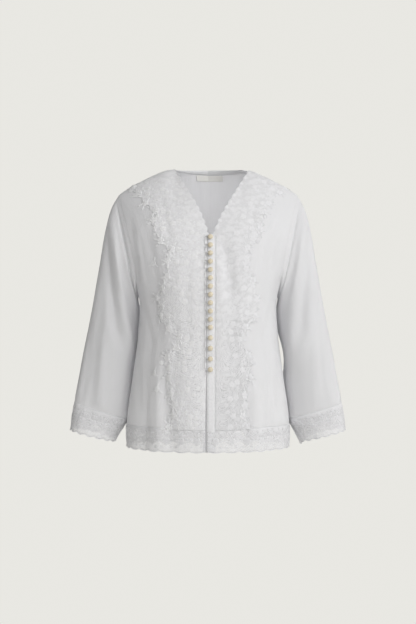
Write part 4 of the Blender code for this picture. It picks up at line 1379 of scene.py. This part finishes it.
arcs = 14
half_height = (BUTTON_HEIGHT - SHANK_HEIGHT) / 2
angles = np.linspace(math.pi / 2, -math.pi / 2 * 0.86, arcs)
outline = [(BUTTON_RADIUS * math.cos(a), BUTTON_HEIGHT - half_height * (1 - math.sin(a))) for a in angles]
outline += [(SHANK_RADIUS, SHANK_HEIGHT * 0.9), (SHANK_RADIUS * 0.9, 0.0), (0.0, 0.0)]
for number, drop in enumerate(button_drops, 1):
    foot = stand_spot(BUTTON_X, drop, STAND_FACE)[0]
    out = body_normal(FRONT, turn_of(np.array([BUTTON_X]), np.array([-drop])), np.array([-drop]))[0]
    aside = unit(np.cross(out, (0.0, 0.0, 1.0)))
    up = np.cross(aside, out)
    verts = []
    for radius, height in outline:
        for k in range(BUTTON_TURNS):
            angle = 2 * math.pi * (k + 0.37 * number) / BUTTON_TURNS
            gather = 1 + 0.018 * math.cos(14 * angle) * max(0.0, 1 - height / (BUTTON_HEIGHT * 0.6))
            reach = radius * gather
            verts.append(foot + out * height + (aside * math.cos(angle) + up * math.sin(angle)) * reach)
    faces = []
    uvs = []
    for i in range(len(outline) - 1):
        for k in range(BUTTON_TURNS):
            after = (k + 1) % BUTTON_TURNS
            row = i * BUTTON_TURNS
            faces.append((row + k, row + BUTTON_TURNS + k, row + BUTTON_TURNS + after, row + after))
            for a, b in ((i, k), (i + 1, k), (i + 1, k + 1), (i, k + 1)):
                uvs.append((b * 0.0012, a * 0.0010))
    button = add_piece(f"ball_button_{number:02d}", np.array(verts), faces, covered_button, uvs)
    weld = button.modifiers.new("closed_top", "WELD")
    weld.merge_threshold = 0.00001
    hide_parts(f"button_{number:02d}")

loop_points = []
for drop in button_drops:
    angle = np.linspace(math.pi / 2, -math.pi / 2, 13)
    xs = [LOOP_EDGE_X, *(BUTTON_X + LOOP_RADIUS * np.cos(angle)), LOOP_EDGE_X]
    zs = [drop - LOOP_RADIUS * 0.8, *(drop - LOOP_RADIUS * np.sin(angle)), drop + LOOP_RADIUS * 0.8]
    loop_points += list(zip(xs, zs))
xs, zs = np.array(loop_points).T
loop_line = stand_spot(xs, zs, np.full(len(xs), STAND_FACE + CORD_RADIUS))
facing = np.repeat([[0.0, -1.0, 0.0]], len(loop_line), axis=0)
loops = tubes("loop_cord", [(loop_line, facing)], CORD_RADIUS, lace_thread, sides=8)
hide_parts("loop_braid")

# Seams
drops = spread(200, HEM_DROP_MIDDLE - 0.006, 0.150)
edge_line = stand_spot(opening_edge(WEARERS_RIGHT, drops) - 0.0006, drops, np.full(200, 0.0006))
facing = np.repeat([[0.0, -1.0, 0.0]], 200, axis=0)
seam_paths = [(edge_line, facing)]
for side in (WEARERS_RIGHT, WEARERS_LEFT):
    turns = spread(120, 2 * math.pi)
    ring = sleeve_point(side, turns, turns * 0 + 0.01)
    seam_paths.append((ring, unit(ring - ring.mean(axis=0))))
    ridge = front_grid(side, spread(80) * 0, spread(80))
    seam_paths.append((ridge, np.repeat([[0.0, 0.0, 1.0]], 80, axis=0)))
    heights = -spread(90, SIDE_END_DROP, UNDERARM_DROP + 0.002)
    seam = body_point(FRONT, heights * 0 + side * math.pi / 2, heights)
    seam_paths.append((seam, np.repeat([[float(side), 0.0, 0.0]], 90, axis=0)))
    rings = spread(110, CUFF_RING, 0.15)
    under = sleeve_point(side, rings * 0 + math.pi, rings)
    seam_paths.append((under, np.repeat([[-float(side), 0.0, -0.5]], 110, axis=0)))
seams = tubes("sewn_seams", seam_paths, SEAM_RADIUS, folded_cotton)

# How each sheet was cut: width and length in metres, flat area in square metres, what goes with it
sheets = [
    (front_pieces[WEARERS_RIGHT], 0.241, 0.616, 0.1104, [seams]),
    (front_pieces[WEARERS_LEFT], 0.231, 0.613, 0.1030, []),
    (back_piece, 0.469, 0.604, 0.2299, []),
    (sleeve_pieces[WEARERS_RIGHT], 0.524, 0.468, 0.1381, []),
    (sleeve_pieces[WEARERS_LEFT], 0.524, 0.468, 0.1357, []),
    (lace_grounds[WEARERS_RIGHT][0], 0.119, 0.840, 0.0544, lace_grounds[WEARERS_RIGHT][1:]),
    (lace_grounds[WEARERS_LEFT][0], 0.108, 0.845, 0.0468, lace_grounds[WEARERS_LEFT][1:]),
    (hem_pieces["right"][0], 0.249, 0.051, 0.0121, hem_pieces["right"][1:]),
    (hem_pieces["left"][0], 0.258, 0.051, 0.0125, hem_pieces["left"][1:]),
    (hem_pieces["back"][0], 0.482, 0.051, 0.0233, hem_pieces["back"][1:]),
    (cuff_pieces["right"][0], 0.374, 0.061, 0.0206, cuff_pieces["right"][1:]),
    (cuff_pieces["left"][0], 0.374, 0.070, 0.0211, cuff_pieces["left"][1:]),
    (edging_pieces["right"][0], 0.217, 0.0106, 0.0016, edging_pieces["right"][1:]),
    (edging_pieces["left"][0], 0.217, 0.012, 0.0016, edging_pieces["left"][1:]),
    (binding, 0.229, 0.022, 0.0024, []),
    (label, 0.063, 0.0155, 0.0009, [label_thread]),
    (stand, 0.0294, 0.4585, 0.0129, [stand_thread]),
]
for piece, width, length, area, going in sheets:
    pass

# Floor, light and camera
floor_mesh = bpy.data.meshes.new("studio_floor")
ring = [
    (FLOOR_RADIUS * math.cos(a), FLOOR_RADIUS * math.sin(a), -FLOOR_DROP)
    for a in np.linspace(0, 2 * math.pi, 64, endpoint=False)
]
floor_mesh.from_pydata(ring, [], [range(64)])
floor = bpy.data.objects.new("studio_floor", floor_mesh)
bpy.context.scene.collection.objects.link(floor)
paint = bpy.data.materials.new("pale_floor")
paint.use_nodes = True
tree = paint.node_tree
tree.nodes.clear()
shade = Shade(tree)
glow = shade.node("ShaderNodeEmission", None, {"Color": (*PALE, 1), "Strength": 1.0})
tree.links.new(glow.socket, tree.nodes.new("ShaderNodeOutputMaterial").inputs[0])
floor_mesh.materials.append(paint)

world = bpy.data.worlds.new("studio")
bpy.context.scene.world = world
world.use_nodes = True
tree = world.node_tree
tree.nodes.clear()
shade = Shade(tree)
seen = shade.node("ShaderNodeLightPath", None, None, 0)
around = shade.node("ShaderNodeTexCoord", None, None, "Generated")
from_right = shade.node("ShaderNodeSeparateXYZ", None, {0: around}) * WORLD_SLOPE + WORLD_LIGHT
strength = seen * (1 - from_right) + from_right
sky = shade.node("ShaderNodeBackground", None, {"Color": (*PALE, 1), "Strength": strength})
tree.links.new(sky.socket, tree.nodes.new("ShaderNodeOutputWorld").inputs[0])


def add_lamp(name, place, target, size, power):
    lamp = bpy.data.lights.new(name, "AREA")
    lamp.shape = "SQUARE"
    lamp.size = size
    lamp.energy = power
    thing = bpy.data.objects.new(name, lamp)
    bpy.context.scene.collection.objects.link(thing)
    thing.location = place
    direction = np.array(target) - np.array(place)
    thing.rotation_euler = Vector(direction).to_track_quat("-Z", "Y").to_euler()


add_lamp("key_right", (1.78, -1.50, 0.62), (0.0, 0.0, -0.3), 1.6, 30)
add_lamp("fill_front", (0.3, -3.1, 0.8), (0.0, 0.0, -0.3), 2.2, 34)
add_lamp("behind", (0.6, 2.1, 0.7), (0.0, 0.0, -0.2), 1.6, 30)

camera_data = bpy.data.cameras.new("camera")
camera_data.sensor_fit = "VERTICAL"
camera_data.sensor_height = SENSOR_MM
camera_data.lens = LENS_MM
camera = bpy.data.objects.new("camera", camera_data)
bpy.context.scene.collection.objects.link(camera)
camera.location = (0.0, -CAMERA_DISTANCE, -CAMERA_DROP)
camera.rotation_euler = (math.pi / 2, 0.0, 0.0)
bpy.context.scene.camera = camera
bpy.context.scene.view_settings.view_transform = "Standard"
